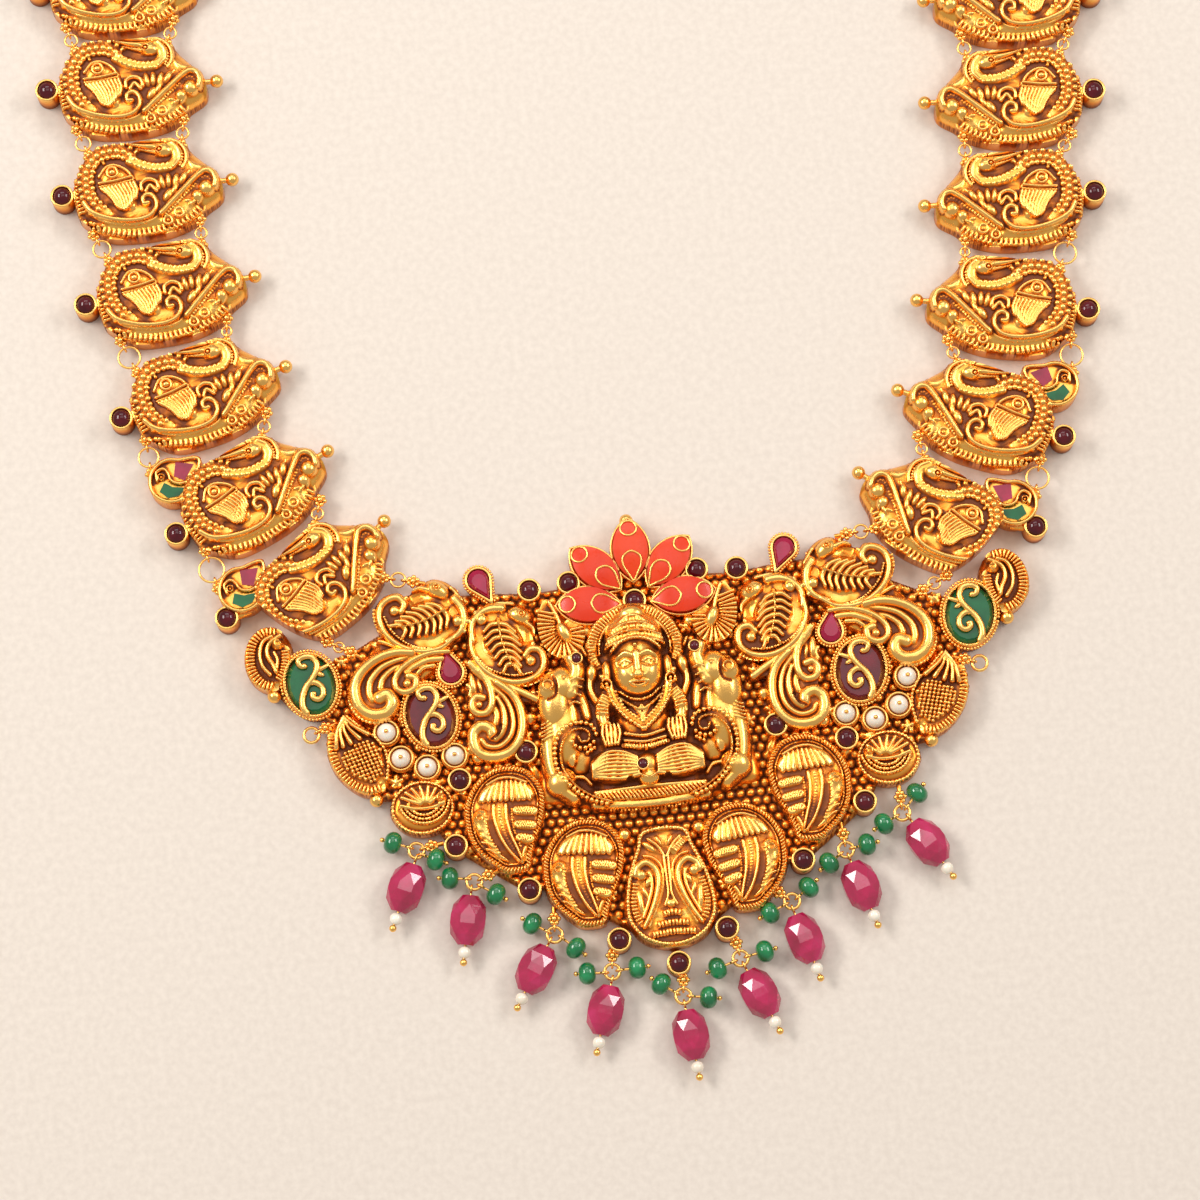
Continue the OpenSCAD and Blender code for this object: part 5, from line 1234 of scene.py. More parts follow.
def wire(name, points, r, closed=False, taper=(1, 1)):
    """A round wire through points (x, y, z); taper scales its radius at its two ends."""
    flat, heights = [(x, y) for x, y, z in points], [z for x, y, z in points]
    path = smooth(flat, closed)
    run = np.concatenate([[0], np.cumsum(np.linalg.norm(np.diff(path, axis=0), axis=1))])
    total = run[-1]
    if closed:
        flat, heights = flat + flat[:1], heights + heights[:1]
        total += math.dist(path[-1], path[0])
    share = run / max(total, 1e-6)
    marks = [0.0]
    for p, q in zip(flat[:-1], flat[1:]):
        marks.append(marks[-1] + math.dist(p, q))
    z = np.interp(share * marks[-1], marks, heights)
    curve = bpy.data.curves.new(name, "CURVE")
    curve.dimensions = "3D"
    curve.bevel_depth = r
    curve.bevel_resolution = 2
    curve.use_fill_caps = True
    spline = curve.splines.new("POLY")
    spline.points.add(len(path) - 1)
    for k, point in enumerate(spline.points):
        point.co = (*path[k], z[k], 1)
        point.radius = taper[0] + (taper[1] - taper[0]) * share[k]
    spline.use_cyclic_u = closed
    obj = bpy.data.objects.new(name, curve)
    bpy.context.collection.objects.link(obj)
    alone(obj)
    bpy.ops.object.convert(target="MESH")
    obj = bpy.context.object
    bpy.ops.object.shade_smooth()
    return obj


def cup(name, outline, thick, top, seat, foot=0.0, soft=0.14):
    """A wall round a stone: the outline raised, its top inset and sunk to the seat, its rim rounded."""
    bpy.ops.object.select_all(action="DESELECT")
    bpy.ops.mesh.primitive_circle_add(vertices=len(outline), radius=1, fill_type="NGON")
    obj = bpy.context.object
    obj.name = obj.data.name = name
    for vertex, (x, y) in zip(obj.data.vertices, outline):
        vertex.co = (x, y, foot)
    bpy.ops.object.mode_set(mode="EDIT")
    bpy.ops.mesh.select_all(action="SELECT")
    bpy.ops.mesh.extrude_region_move(TRANSFORM_OT_translate={"value": (0, 0, top - foot)})
    bpy.ops.mesh.inset(thickness=thick)
    bpy.ops.mesh.extrude_region_move(TRANSFORM_OT_translate={"value": (0, 0, seat - top)})
    bpy.ops.mesh.select_all(action="DESELECT")
    bpy.ops.mesh.select_mode(type="EDGE")
    bpy.ops.object.mode_set(mode="OBJECT")
    mesh = obj.data
    for edge in mesh.edges:
        a, b = (mesh.vertices[i].co for i in edge.vertices)
        edge.select = abs(a.z - b.z) <= 0.01 and abs(a.z - top) < 0.01
    bpy.ops.object.mode_set(mode="EDIT")
    bpy.ops.mesh.bevel(offset=soft, segments=2, affect="EDGES")
    bpy.ops.mesh.select_all(action="SELECT")
    bpy.ops.mesh.normals_make_consistent(inside=False)
    bpy.ops.object.mode_set(mode="OBJECT")
    bpy.ops.object.shade_smooth_by_angle(angle=CUP_CREASE)
    return obj


def ball(name, r, place=(0, 0, 0), detail=3):
    bpy.ops.object.select_all(action="DESELECT")
    bpy.ops.mesh.primitive_ico_sphere_add(subdivisions=detail, radius=r, location=place)
    bpy.ops.object.transform_apply(location=True)
    obj = bpy.context.object
    obj.name = obj.data.name = name
    bpy.ops.object.shade_smooth()
    return obj


def torus(name, major, minor, place=(0, 0, 0), upright=False, around=24, section=10):
    bpy.ops.object.select_all(action="DESELECT")
    bpy.ops.mesh.primitive_torus_add(major_radius=major, minor_radius=minor, major_segments=around,
                                     minor_segments=section)
    obj = bpy.context.object
    obj.name = obj.data.name = name
    if upright:
        obj.data.transform(Matrix.Rotation(math.pi / 2, 4, "X"))
    obj.data.transform(Matrix.Translation(place))
    bpy.ops.object.shade_smooth()
    return obj


def copy_of(obj, place=(0, 0, 0), turn=0.0, size=1.0, mirror=False):
    new = obj.copy()
    new.data = obj.data.copy()
    bpy.context.collection.objects.link(new)
    move = Matrix.Translation(place) @ Matrix.Rotation(math.radians(turn), 4, "Z") @ Matrix.Scale(size, 4)
    if mirror:
        move = Matrix.Scale(-1, 4, (1, 0, 0)) @ move
    new.data.transform(move)
    if mirror:
        new.data.flip_normals()
    return new


def circle(r, n, rx=None):
    return [((rx or r) * math.cos(2 * math.pi * k / n),
             r * math.sin(2 * math.pi * k / n)) for k in range(n)]


grain_form = ball("grain form", 1.0, detail=2)


def grains(points, r, z, pitch=None, closed=False):
    """Beads soldered in a row along a path."""
    spots = spaced(smooth(points, closed), pitch or 2.05 * r)[0]
    if closed:
        spots = spots[:-1]
    return [copy_of(grain_form, (x, y, z), size=r) for x, y in spots]


# %% Collet, eyelet with its granules and bail
EYE_R = 0.62


def eyelet(stem):
    """A standing ring on a stem that points back along -X, with granules round the joint."""
    root, joint = -0.66, -0.72 - EYE_R
    parts = [torus("eye", EYE_R, 0.2, (0, 0, WIRE_Z), upright=True),
             wire("stem", [(root, 0, WIRE_Z), (root - stem / 2, 0, WIRE_Z), (root - stem, 0, WIRE_Z - 0.3)],
                  0.34, taper=(0.8, 1.25)),
             ball("granule", 0.5, (joint, 0, WIRE_Z + 0.85), 2)]
    for k in range(6):
        a = math.radians(60 * k + 30)
        spot = (joint + 0.74 * math.cos(a), 0.74 * math.sin(a), WIRE_Z + 0.35)
        parts.append(ball("granule", 0.42, spot, 2))
    return join(parts, "eyelet form")


link_eyelet = patina(eyelet(1.5), 2.6)
pendant_bail = patina(eyelet(2.6), 2.9)
collet = patina(cup("collet form", circle(1.98, 28), 0.42, 4.35, 3.1), 3.9)
print("collet", len(collet.data.polygons), "bail", len(pendant_bail.data.polygons))

# %% [markdown]
# ## Assembling the links
# Each link gets a collet at its left, a ball on its right edge and four eyelets that look along the
# jump rings. The two lowest links of a row carry a paisley with a ruby and an emerald above the
# beak. A right link is a left one mirrored, as the maker's two wax forms are.

# %% Paisley on the lowest links
ACCENT_SPOT = bail_place((-40, 54))


def accent_sheet(outline):
    f = Sheet(-5, 5.8, -4.6, 4.6, 0.11)
    f.plate(outline, 4.0, 0.7, 1.2)
    rim = [(x * 0.93, y * 0.91) for x, y in outline[::3]]
    f.rope(rim, 0.8, 4.8, 0.9, closed=True)
    f.rope([(-3.0, 1.2), (-2.4, 2.5), (-1.1, 2.5), (-0.75, 1.4), (-0.95, 0.4), (-0.6, -0.5), (0.4, -1.25),
            (1.7, -1.3), (2.9, -0.7)], 0.7, 4.8, 0.9)
    ring(f, -2.05, 1.45, 0.52, 0.32, 4.7, 0.6)
    ring(f, 1.55, -2.05, 0.5, 0.3, 4.6, 0.6)
    f.bead(-2.05, 1.45, 0.26, 4.5)
    f.bead(1.55, -2.05, 0.26, 4.4)
    return f


accent_outline = smooth([(-0.88 + 3.95 * math.cos(math.radians(a)), 3.95 * math.sin(math.radians(a)))
                         for a in range(45, 331, 20)] + [(5.2, 1.0)], True, 0.3)
accent_form = cast("accent form", accent_sheet(accent_outline), accent_outline, keep=0.6, floor=4.4)


# %% Headings of the jump rings, and the links
PLATE_RING = 2.2
LINK_COUNT = 7
ACCENTED = 2  # the lowest links of a row that carry a paisley


# side 0 is the inner side of a row, toward the neck, and side 1 the outer
def low_share(k, side):
    if side == 0:
        return BAIL_LOW_IN
    return BAIL_LOW_OUT_LAST if k == 0 else BAIL_LOW_OUT_ACCENT if k - 1 < ACCENTED else BAIL_LOW_OUT


def top_share(k, side):
    return BAIL_TOP_IN if side == 0 else BAIL_ACCENT if k < ACCENTED else BAIL_TOP_OUT


def spot_on(row, k, share):
    spot, turn = POSES[row][k]
    return spot + turned(bail_place(share), turn)


def ring_from(row, k, side):
    if k == 0:
        x, y = LINK_BAIL_IN if side == 0 else LINK_BAIL_LOW
        return np.array([-x, y]) * PENDANT_W / 100
    return spot_on(row, k - 1, top_share(k - 1, side))


def ring_to(row, k, side):
    if k == LINK_COUNT:
        turn = POSES[row][-1][1]
        top = BAIL_TOP_IN if side == 0 else BAIL_TOP_OUT
        return spot_on(row, LINK_COUNT - 1, top) + PLATE_RING * aim(turn + 90)
    return spot_on(row, k, low_share(k, side))


def ring_heading(row, k, side):
    way = ring_to(row, k, side) - ring_from(row, k, side)
    return math.degrees(math.atan2(way[1], way[0]))


def dressed(form, first):
    """A link's relief with its collet and its ball."""
    spot = bail_place((-64, 44)) if first else bail_place((-59, 4))
    parts = [form, copy_of(collet, (*spot, 0)), patina(ball("ball", 1.15, (14.27, 0.49, WIRE_Z)), 2.2),
             patina(wire("neck", [(11.8, 0.45, WIRE_Z), (12.8, 0.47, WIRE_Z), (13.6, 0.49, WIRE_Z)], 0.5),
                    2.6),
             patina(wire("strut", [(*spot, 2.2), (*(spot * 0.88), 2.4), (*(spot * 0.76), 2.6)], 0.7), 3.2)]
    return join(parts, form.name)


link_master = dressed(link_master, False)
last_master = dressed(last_master, True)
for row, side_name in enumerate(("left", "right")):
    for k in range(LINK_COUNT):
        turn = POSES[row][k][1]
        parts = [copy_of(last_master if k == 0 else link_master)]
        ends = [(top_share(k, side), ring_heading(row, k + 1, side)) for side in (0, 1)]
        ends += [(low_share(k, side), ring_heading(row, k, side) + 180) for side in (0, 1)]
        for share, heading in ends:
            parts.append(copy_of(link_eyelet, (*bail_place(share), 0), heading - turn))
        if k < ACCENTED:
            parts.append(copy_of(accent_form, (*ACCENT_SPOT, 0)))
        piece = join(parts, "peacock_%s_%d" % (side_name, LINK_COUNT - k))
        settle(piece, piece.name, POSES[row][k][0], turn, mirror=row == 1, copy=False)
        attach(piece, "root")
        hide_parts("peacock_link_%s_%d" % (side_name, LINK_COUNT - k))
print("faces of a dressed link:", len(piece.data.polygons))

# %% [markdown]
# ## The pendant's ground
# A thin sheet joins the plaques. Granules in staggered rows cover it, with florets and small leaves
# among them, so the gaps between the plaques glitter over ground darkened with painted shade.

# %% Ground sheet
WEB = [(0, 20), (4.5, 18.5), (9, 17), (13.5, 16.8), (19, 17.4), (24, 17.6), (29, 16.5), (33, 13.5),
       (38, 11), (42.5, 9.5), (46, 12), (47.5, 8.5), (45, 5), (41, 3.5), (38.5, 0.5), (36.6, -5),
       (35.6, -7.7), (32, -8.1), (29, -10.5), (26.8, -14.6), (22.6, -17.8), (18.2, -21), (13.6, -21.6),
       (8.5, -25.5), (4, -28.6), (0, -31)]


def on_pendant(points):
    return [(x * PENDANT_W / 100, y * PENDANT_W / 100) for x, y in points]


FLORETS = [(40.3, 3.4), (42.3, -7.6), (29.8, -3.6), (20.4, -2.2), (16.4, -3.6), (36.8, 8.2), (28.4, 6.4),
           (33.0, 10.6), (49.4, 13.4), (18.3, 4.6), (30.0, -16.4), (15.0, -24.0), (9.4, -30.0),
           (7.8, 13.2), (24.6, -8.4)]
FILL_LEAVES = [(42.6, 15.2, 30, 2.4), (45.8, 10.6, -50, 2.0), (32.0, -10.2, 40, 1.9), (19.6, -8.2, 70, 1.8),
               (20.8, 1.6, 80, 1.8), (36.6, -8.2, 10, 1.9), (7.4, -20.4, 60, 1.7), (11.8, -27.6, 40, 1.6)]
GRANULE = 1.7
GRANULE_ROW = 0.87 * GRANULE


def ground_sheet(outline):
    f = Sheet(-63, 63, -41, 27, 0.26)
    f.plate(outline, 1.6, 0.8, 1.0)
    # granules in staggered rows, side by side over the whole field
    row = np.floor(f.Y / GRANULE_ROW)
    across = (f.X / GRANULE + 0.5 * (row % 2)) % 1 - 0.5
    along = (f.Y / GRANULE_ROW) % 1 - 0.5
    away = (across * GRANULE) ** 2 + (along * GRANULE_ROW) ** 2
    ball = 1.75 + np.sqrt(np.clip((0.5 * GRANULE) ** 2 - away, 0, None))
    f.H = np.where(f.H > 1.5, np.maximum(f.H, ball), f.H)
    for s in (-1, 1):
        for x, y in FLORETS:
            f.bead(s * x, y, 1.5, 3.0)
            f.bead(s * x, y, 0.5, 3.7)
            for k in range(5):
                a = math.radians(72 * k + 20)
                f.bead(s * (x + 0.85 * math.cos(a)), y + 0.85 * math.sin(a), 0.44, 3.5)
        for x, y, turn, size in FILL_LEAVES:
            f.dome(s * x, y, size, 0.85, 3.3, 1.4, s * turn)
            f.groove([(s * (x - 0.8 * size * aim(turn)[0]), y - 0.8 * size * aim(turn)[1]),
                      (s * (x + 0.8 * size * aim(turn)[0]), y + 0.8 * size * aim(turn)[1])], 0.36, 0.35)
    return f


ground_outline = np.array(mirrored(on_pendant(WEB)))
# floor lies above the granules' tops, so the whole ground is darkened: painted shade that stands for the
# shadowed gaps between the plaques, on top of the patina between the granules
ground = cast("pendant_ground", ground_sheet(ground_outline), ground_outline, keep=0.6, floor=3.6)
settle(ground, ground.name, copy=False)
print("faces of the ground:", len(ground.data.polygons))

# %% Plaques in their places
# name, form, place, turn, mirrored
PLAQUES = [("deity_plaque", deity_master, (DEITY_AXIS, 0), 0, False),
           ("shield_plaque", shield_master, SHIELD_MIDDLE, 0, False)]
MANGO_LOWER = (MANGO_MIDDLE[0] - 11.8, MANGO_MIDDLE[1] - 10.1)
for mirror, word in ((False, "right"), (True, "left")):
    PLAQUES += [
        ("leaf_inner_" + word, leaf_master, LEAF_MIDDLE, 0, mirror),
        ("leaf_outer_" + word, leaf_master, (-35, 18.7), -62, not mirror),
        ("scroll_inner_" + word, inner_master, SCROLL_IN, 0, mirror),
        ("scroll_outer_" + word, outer_master, SCROLL_OUT, 0, mirror),
        ("mango_upper_" + word, mango_master, MANGO_MIDDLE, 0, mirror),
        ("mango_lower_" + word, mango_master, MANGO_LOWER, 3, mirror),
        ("shell_" + word, shell_master, (38.5, -12.4), 0, mirror),
        ("fish_" + word, fish_master, FISH_MIDDLE, 0, mirror),
        ("conch_" + word, conch_master, CONCH_MIDDLE, 0, mirror),
        ("feather_" + word, feather_master, FEATHER_MIDDLE, 0, mirror)]
frame_pieces = [ground]
for name, form, place, turn, mirror in PLAQUES:
    frame_pieces.append(settle(form, name, place, turn, mirror))
print("plaques placed:", len(PLAQUES))

# %% [markdown]
# ## Settings
# A bezel is a strip of sheet bent round the stone and pushed over its edge; a beaded wire is often
# soldered round it. Garnets sit in collets, plain tubes. The petals are held by loops of wire, and
# each oval carries a scroll that ends in two curls, with a small leaf at its side.

# %% Tables of the stones, in hundredths of the pendant's width
GARNETS = [(13.3, 16.8), (8.2, 17.2), (15.9, -3.9), (24.6, -6.6), (25.9, -14.9), (17.3, -21.4),
           (6.8, -28.9)]
AXIS_GARNETS = [(-0.1, 14.0), (0.3, -32.6)]
PEARS = [(19.3, 18.1, -205), (24.4, 8.0, -10)]
PEARLS = [(33.2, 0.5), (31.7, -3.0), (28.5, -4.5), (24.9, -3.4)]
STUDS = [(46.9, 6.8), (35.3, -7.9), (6.6, 10.8), (22.0, -3.9), (14.9, 0.4), (15.1, -12.0), (4.7, -15.7)]
OVALS = [(27.4, 1.9), (42.1, 7.6)]
PETALS = [(0.1, 20.6, 90), (4.8, 18.6, 46), (6.2, 14.0, 5), (-4.6, 18.6, 134), (-6.0, 14.0, 175)]
PETAL_L, PETAL_W = 10.2, 5.8


# %% One of each setting
def pear_outline(grow):
    r, y0, tip = 1.7 + grow, -1.0, 2.7 + grow * 2.0
    start = math.asin(r / (tip - y0))
    turns = np.linspace(math.pi - start, 2 * math.pi + start, 19)
    side = [(r * math.cos(a), y0 + r * math.sin(a)) for a in turns]
    (x0, low0), (x1, low1) = side[0], side[-1]
    return side + [(x1 * 0.5, (low1 + tip) / 2), (0, tip), (x0 * 0.5, (low0 + tip) / 2)]


def petal_outline(grow):
    big = (PETAL_L ** 2 / 4 + PETAL_W ** 2 / 4) / PETAL_W
    c, e = big - PETAL_W / 2, big + grow
    b = math.acos(c / e)
    turns = np.linspace(-b, b, 15)[:-1]
    right = [(e * math.cos(a) - c, e * math.sin(a)) for a in turns]
    return right + [(-x, -y) for x, y in right]


def oval_outline(grow):
    return circle(5.0 + grow, 44, 3.9 + grow)


def petal_top(x, y):
    return 5.7 - (x * x + y * y) / 26.6


def setting(name, floor, parts):
    """A bezel and what is soldered to it, as one form with its patina."""
    return join([patina(part, floor) for part in parts], name)


pear_bezel = setting("pear bezel form", 4.0, [cup("pear bezel", pear_outline(0.55), 0.42, 4.35, 3.0)]
                     + grains(pear_outline(0.75), 0.24, 3.85, 0.5, True))
pearl_bezel = setting("pearl bezel form", 3.9, [
    cup("pearl bezel", circle(2.1, 28), 0.3, 4.1, 3.0, soft=0.1),
    torus("pearl collar", 2.12, 0.22, (0, 0, 3.0), around=32, section=8)])
pearl_form = ball("pearl form", 1.55, (0, 0, 3.7))
pearl_dot = patina(ball("pearl dot form", 0.36, (0, 0, 5.26), 2), 3.9)
scroll = [wire("scroll", [(0.1, 3.1, 4.5), (0.75, 3.5, 4.6), (0.75, 4.4, 4.65), (-0.2, 4.75, 4.65),
                          (-1.5, 4.3, 4.65), (-2.0, 3.1, 4.65), (-1.6, 1.9, 4.65), (-0.5, 0.8, 4.65),
                          (0.9, -0.3, 4.65), (1.9, -1.7, 4.65), (2.3, -3.2, 4.6), (2.0, -4.4, 4.5)], 0.6,
               taper=(0.85, 1.05)),
          wire("lower curl", [(0.6, 0.2, 4.5), (-0.7, 0.1, 4.6), (-1.6, -0.9, 4.6), (-1.5, -2.2, 4.6),
                              (-0.5, -2.8, 4.6), (0.3, -2.2, 4.6), (0.1, -1.5, 4.6)], 0.54),
          ball("upper ball", 0.55, (0.1, 3.2, 4.6), 2), ball("lower ball", 0.5, (0.0, -1.7, 4.6), 2),
          ball("root ball", 0.55, (2.0, -4.3, 4.5), 2)]
for x, y, turn, size in ((-2.6, 2.0, -12, 1.5), (-1.9, 1.2, 35, 0.9), (-1.7, 2.6, -50, 0.8)):
    leaf = copy_of(grain_form)
    leaf.data.transform(Matrix.Translation((x, y, 4.5)) @ Matrix.Rotation(math.radians(turn), 4, "Z")
                        @ Matrix.Diagonal((size, 0.42, 0.34, 1)))
    scroll.append(leaf)
oval_bezel = setting("oval bezel form", 4.0, [cup("oval bezel", oval_outline(0.62), 0.5, 4.5, 3.0)]
                     + grains(oval_outline(0.36), 0.25, 4.5, 0.53, True)
                     + grains(oval_outline(0.9), 0.27, 4.0, 0.57, True) + scroll)
tip_ring = [(1.35 * math.cos(a), 3.5 + 1.3 * math.sin(a)) for a in np.arange(0, 6.2, 0.7)]
root_loop = [(0, -5.3), (-0.75, -4.2), (-1.5, -2.7), (-1.35, -1.3), (0, -0.5), (1.35, -1.3), (1.5, -2.7),
             (0.75, -4.2)]
petal_bezel = setting("petal bezel form", 3.6, [
    cup("petal bezel", petal_outline(0.5), 0.36, 4.3, 2.9, soft=0.12),
    wire("tip ring", [(x, y, petal_top(x, y) + 0.06) for x, y in tip_ring], 0.2, True),
    wire("root loop", [(x, y, petal_top(x, y) + 0.06) for x, y in root_loop], 0.2, True)])
stud_form = setting("stud form", 3.2, [
    ball("stud", 1.15, (0, 0, 2.9)), wire("stud stem", [(0, 0, 0.4), (0.01, 0, 1.4), (0.02, 0, 2.6)], 0.7)])
print("oval bezel faces:", len(oval_bezel.data.polygons), "petal bezel faces:",
      len(petal_bezel.data.polygons))

# %% All settings in their places
def turned_on_pendant(rows):
    """Rows of x, y and a turn, with the place in millimetres."""
    return [(x * PENDANT_W / 100, y * PENDANT_W / 100, turn) for x, y, turn in rows]


def both_sides(form, x, y, turn=0.0):
    return [copy_of(form, (x, y, 0), turn), copy_of(form, (x, y, 0), turn, mirror=True)]


def placed(name, parts):
    """Joins copies into one piece of the pendant's gold."""
    piece = join(parts, name)
    settle(piece, name, copy=False)
    frame_pieces.append(piece)


placed("garnet_collets", [part for x, y in on_pendant(GARNETS) for part in both_sides(collet, x, y)]
       + [copy_of(collet, (x, y, 0)) for x, y in on_pendant(AXIS_GARNETS)])
placed("pear_bezels", [part for x, y, turn in turned_on_pendant(PEARS)
                       for part in both_sides(pear_bezel, x, y, turn)])
placed("pearl_bezels", [part for x, y in on_pendant(PEARLS) for form in (pearl_bezel, pearl_dot)
                        for part in both_sides(form, x, y)])
placed("oval_bezels", [part for x, y in on_pendant(OVALS) for part in both_sides(oval_bezel, x, y, -12)])
placed("petal_bezels", [copy_of(petal_bezel, (x, y, 0), turn - 90)
                        for x, y, turn in turned_on_pendant(PETALS)])
placed("gold_studs", [part for x, y in on_pendant(STUDS) for part in both_sides(stud_form, x, y)]
       + [copy_of(stud_form, (0, 0.246 * PENDANT_W, 0.2))])

# %% Bails along the rim, and the rings of the drops in the thicker wire of the real rings
RING_R, RING_WIRE = 1.25, 0.27
DROPS = [(-30.0, -14.6, 190), (-23.2, -19.2, 199), (-14.7, -26.3, 266), (-8.0, -31.7, 264),
         (0.5, -35.7, 264), (7.9, -31.8, 280), (14.6, -25.7, 320), (22.8, -19.6, 274), (30.5, -15.7, 270)]
SPARE_BAIL = (41.8, 1.7, -20)
drop_places = turned_on_pendant(DROPS)
spare_x, spare_y, spare_turn = turned_on_pendant([SPARE_BAIL])[0]


def ring_place(x, y, turn):
    """The middle of the ring that hangs in a bail."""
    return x + RING_R * aim(turn)[0], y + RING_R * aim(turn)[1]


drop_ring = torus("drop ring form", RING_R, RING_WIRE, (0, 0, WIRE_Z), around=32)
placed_rings = [copy_of(drop_ring, (*ring_place(*spot), 0)) for spot in drop_places]
placed_rings += both_sides(drop_ring, *ring_place(spare_x, spare_y, spare_turn))
rings = setting("rings_of_the_drops", 1.0, placed_rings)
settle(rings, rings.name, copy=False)
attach(rings, "root")
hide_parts("drop_rings")
bails = [copy_of(pendant_bail, (x, y, 0), turn) for x, y, turn in drop_places]
bails += both_sides(pendant_bail, spare_x, spare_y, spare_turn)
for row in (0, 1):
    for side in (0, 1):
        spot = ring_from(row, 0, side)
        bails.append(copy_of(pendant_bail, (*spot, 0), ring_heading(row, 0, side), mirror=row == 1))
BAIL_ARMS = [[(27.2, 19.7), (26.3, 18.1)], [(37.6, 10.6), (37.3, 8.7)]]
for points in BAIL_ARMS:
    (a, b), (c, d) = on_pendant(points)
    arm = patina(wire("arm", [(a, b, 1.8), ((a + c) / 2, (b + d) / 2, 1.8), (c, d, 1.6)], 0.55), 2.4)
    bails += [copy_of(arm), copy_of(arm, mirror=True)]
    bpy.data.objects.remove(arm)
placed("rim_bails", bails)

# %% Small cups at the trunks and in the lap
SMALL_GARNETS = [(DEITY_AXIS - 9.75, 8.9, 7.0), (DEITY_AXIS + 9.75, 8.9, 7.0),
                 (DEITY_AXIS - 0.85, -9.7, 6.9)]
small_cups = []
for x, y, z in SMALL_GARNETS:
    rim = cup("small cup", circle(1.05, 20), 0.26, z + 0.7, z + 0.2, foot=z - 1.6, soft=0.1)
    rim.data.transform(Matrix.Translation((x, y, 0)))
    small_cups.append(patina(rim, z + 0.3))
placed("small_collets", small_cups)
for piece in frame_pieces:
    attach(piece, "root")
    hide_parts("pendant_frame")
print("pieces of the pendant:", len(frame_pieces))

# %% [markdown]
# ## Stones and pearls
# Coral is opaque and waxy with faint pale bands. Garnets are so dark that only their highlights
# show. The drops' rubies are cut with small facets and let light in; the emeralds are cloudy beads.
# A pearl is a soft cream with a lustrous coat.

# %% Finishes of the stones
def stone(name, stops, rough, scale, coat=0.3, through=0.0, under=0.0, ior=1.55, grain=0.0, stretch=None):
    mat, nodes, links, shader = new_material(name)
    cloud = noise(nodes, links, scale, 4)
    if stretch:  # bands instead of clouds
        where = nodes.new("ShaderNodeTexCoord")
        squeeze = nodes.new("ShaderNodeMapping")
        squeeze.inputs["Scale"].default_value = stretch
        links.new(where.outputs["Object"], squeeze.inputs["Vector"])
        links.new(squeeze.outputs["Vector"], cloud.inputs["Vector"])
    tone = ramp(nodes, links, cloud.outputs["Fac"], stops)
    links.new(tone.outputs["Color"], shader.inputs["Base Color"])
    fine = noise(nodes, links, scale * 7, 2)
    matt = ramp(nodes, links, fine.outputs["Fac"], [(0.3, (rough,) * 3), (0.75, (rough * 1.8,) * 3)])
    links.new(matt.outputs["Color"], shader.inputs["Roughness"])
    shader.inputs["Coat Weight"].default_value = coat
    shader.inputs["Coat Roughness"].default_value = 0.04
    shader.inputs["Transmission Weight"].default_value = through
    shader.inputs["Subsurface Weight"].default_value = under
    shader.inputs["Subsurface Scale"].default_value = 0.0012
    shader.inputs["Subsurface Radius"].default_value = (1.0, 0.45, 0.3)
    shader.inputs["IOR"].default_value = ior
    if grain:
        bump(nodes, links, fine.outputs["Fac"], shader, grain, 0.00004)
    return mat


CORAL = stone("coral", [(0.3, (0.56, 0.020, 0.001)), (0.55, (0.66, 0.034, 0.002)),
                        (0.8, (0.72, 0.058, 0.006))],
              0.24, 120, 0.12, ior=1.4, grain=0.03, stretch=(1.0, 0.4, 1.0))
GARNET = stone("garnet", [(0.3, (0.045, 0.001, 0.004)), (0.7, (0.100, 0.003, 0.008))], 0.05, 500, 0.0,
               ior=1.45)
RUBY_BEAD = stone("ruby bead", [(0.3, (0.36, 0.002, 0.045)), (0.55, (0.56, 0.004, 0.085)),
                                (0.8, (0.72, 0.02, 0.16))], 0.07, 240, 0.25, through=0.28, ior=1.76)
RUBY = stone("ruby", [(0.3, (0.075, 0.001, 0.004)), (0.7, (0.15, 0.002, 0.010))], 0.06, 320, 0.0, ior=1.45)
PEAR_RUBY = stone("pear ruby", [(0.3, (0.20, 0.001, 0.020)), (0.7, (0.36, 0.003, 0.045))], 0.06, 320, 0.0,
                  ior=1.5)
GREEN = stone("green stone", [(0.3, (0.002, 0.070, 0.020)), (0.7, (0.005, 0.130, 0.040))], 0.06, 320, 0.0,
              ior=1.42)
EMERALD = stone("emerald bead", [(0.3, (0.002, 0.12, 0.035)), (0.55, (0.004, 0.22, 0.065)),
                                 (0.8, (0.02, 0.38, 0.13))],
                0.12, 300, 0.3, through=0.18, under=0.05, ior=1.58, grain=0.06)
PEARL = stone("pearl", [(0.3, (0.78, 0.68, 0.54)), (0.6, (0.86, 0.78, 0.66)), (0.8, (0.92, 0.87, 0.79))],
              0.12, 380, 0.55, under=0.12, grain=0.05)
PLAIN = {"link_garnets": GARNET, "pendant_garnets": GARNET, "pear_rubies": PEAR_RUBY, "set_pearls": PEARL,
         "drop_pearls": PEARL, "emerald_beads": EMERALD, "accent_rubies": PEAR_RUBY,
         "accent_emeralds": GREEN, "oval_ruby_left": RUBY, "oval_ruby_right": RUBY,
         "oval_green_left": GREEN, "oval_green_right": GREEN}
GROUPS = {"coral": CORAL, "drop_ruby": RUBY_BEAD}
for name, node in frame["nodes"].items():
    group = next((finish for start, finish in GROUPS.items() if name.startswith(start)), BRIGHT_GOLD)
    paint(node, PLAIN.get(name, group))
print("finishes given to", len(frame["nodes"]), "nodes")

# %% Set pearls as full balls
pearls = join([part for x, y in on_pendant(PEARLS) for part in both_sides(pearl_form, x, y)], "pearl_balls")
settle(pearls, pearls.name, copy=False)
paint(pearls, PEARL)
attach(pearls, "root")
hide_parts("set_pearls")

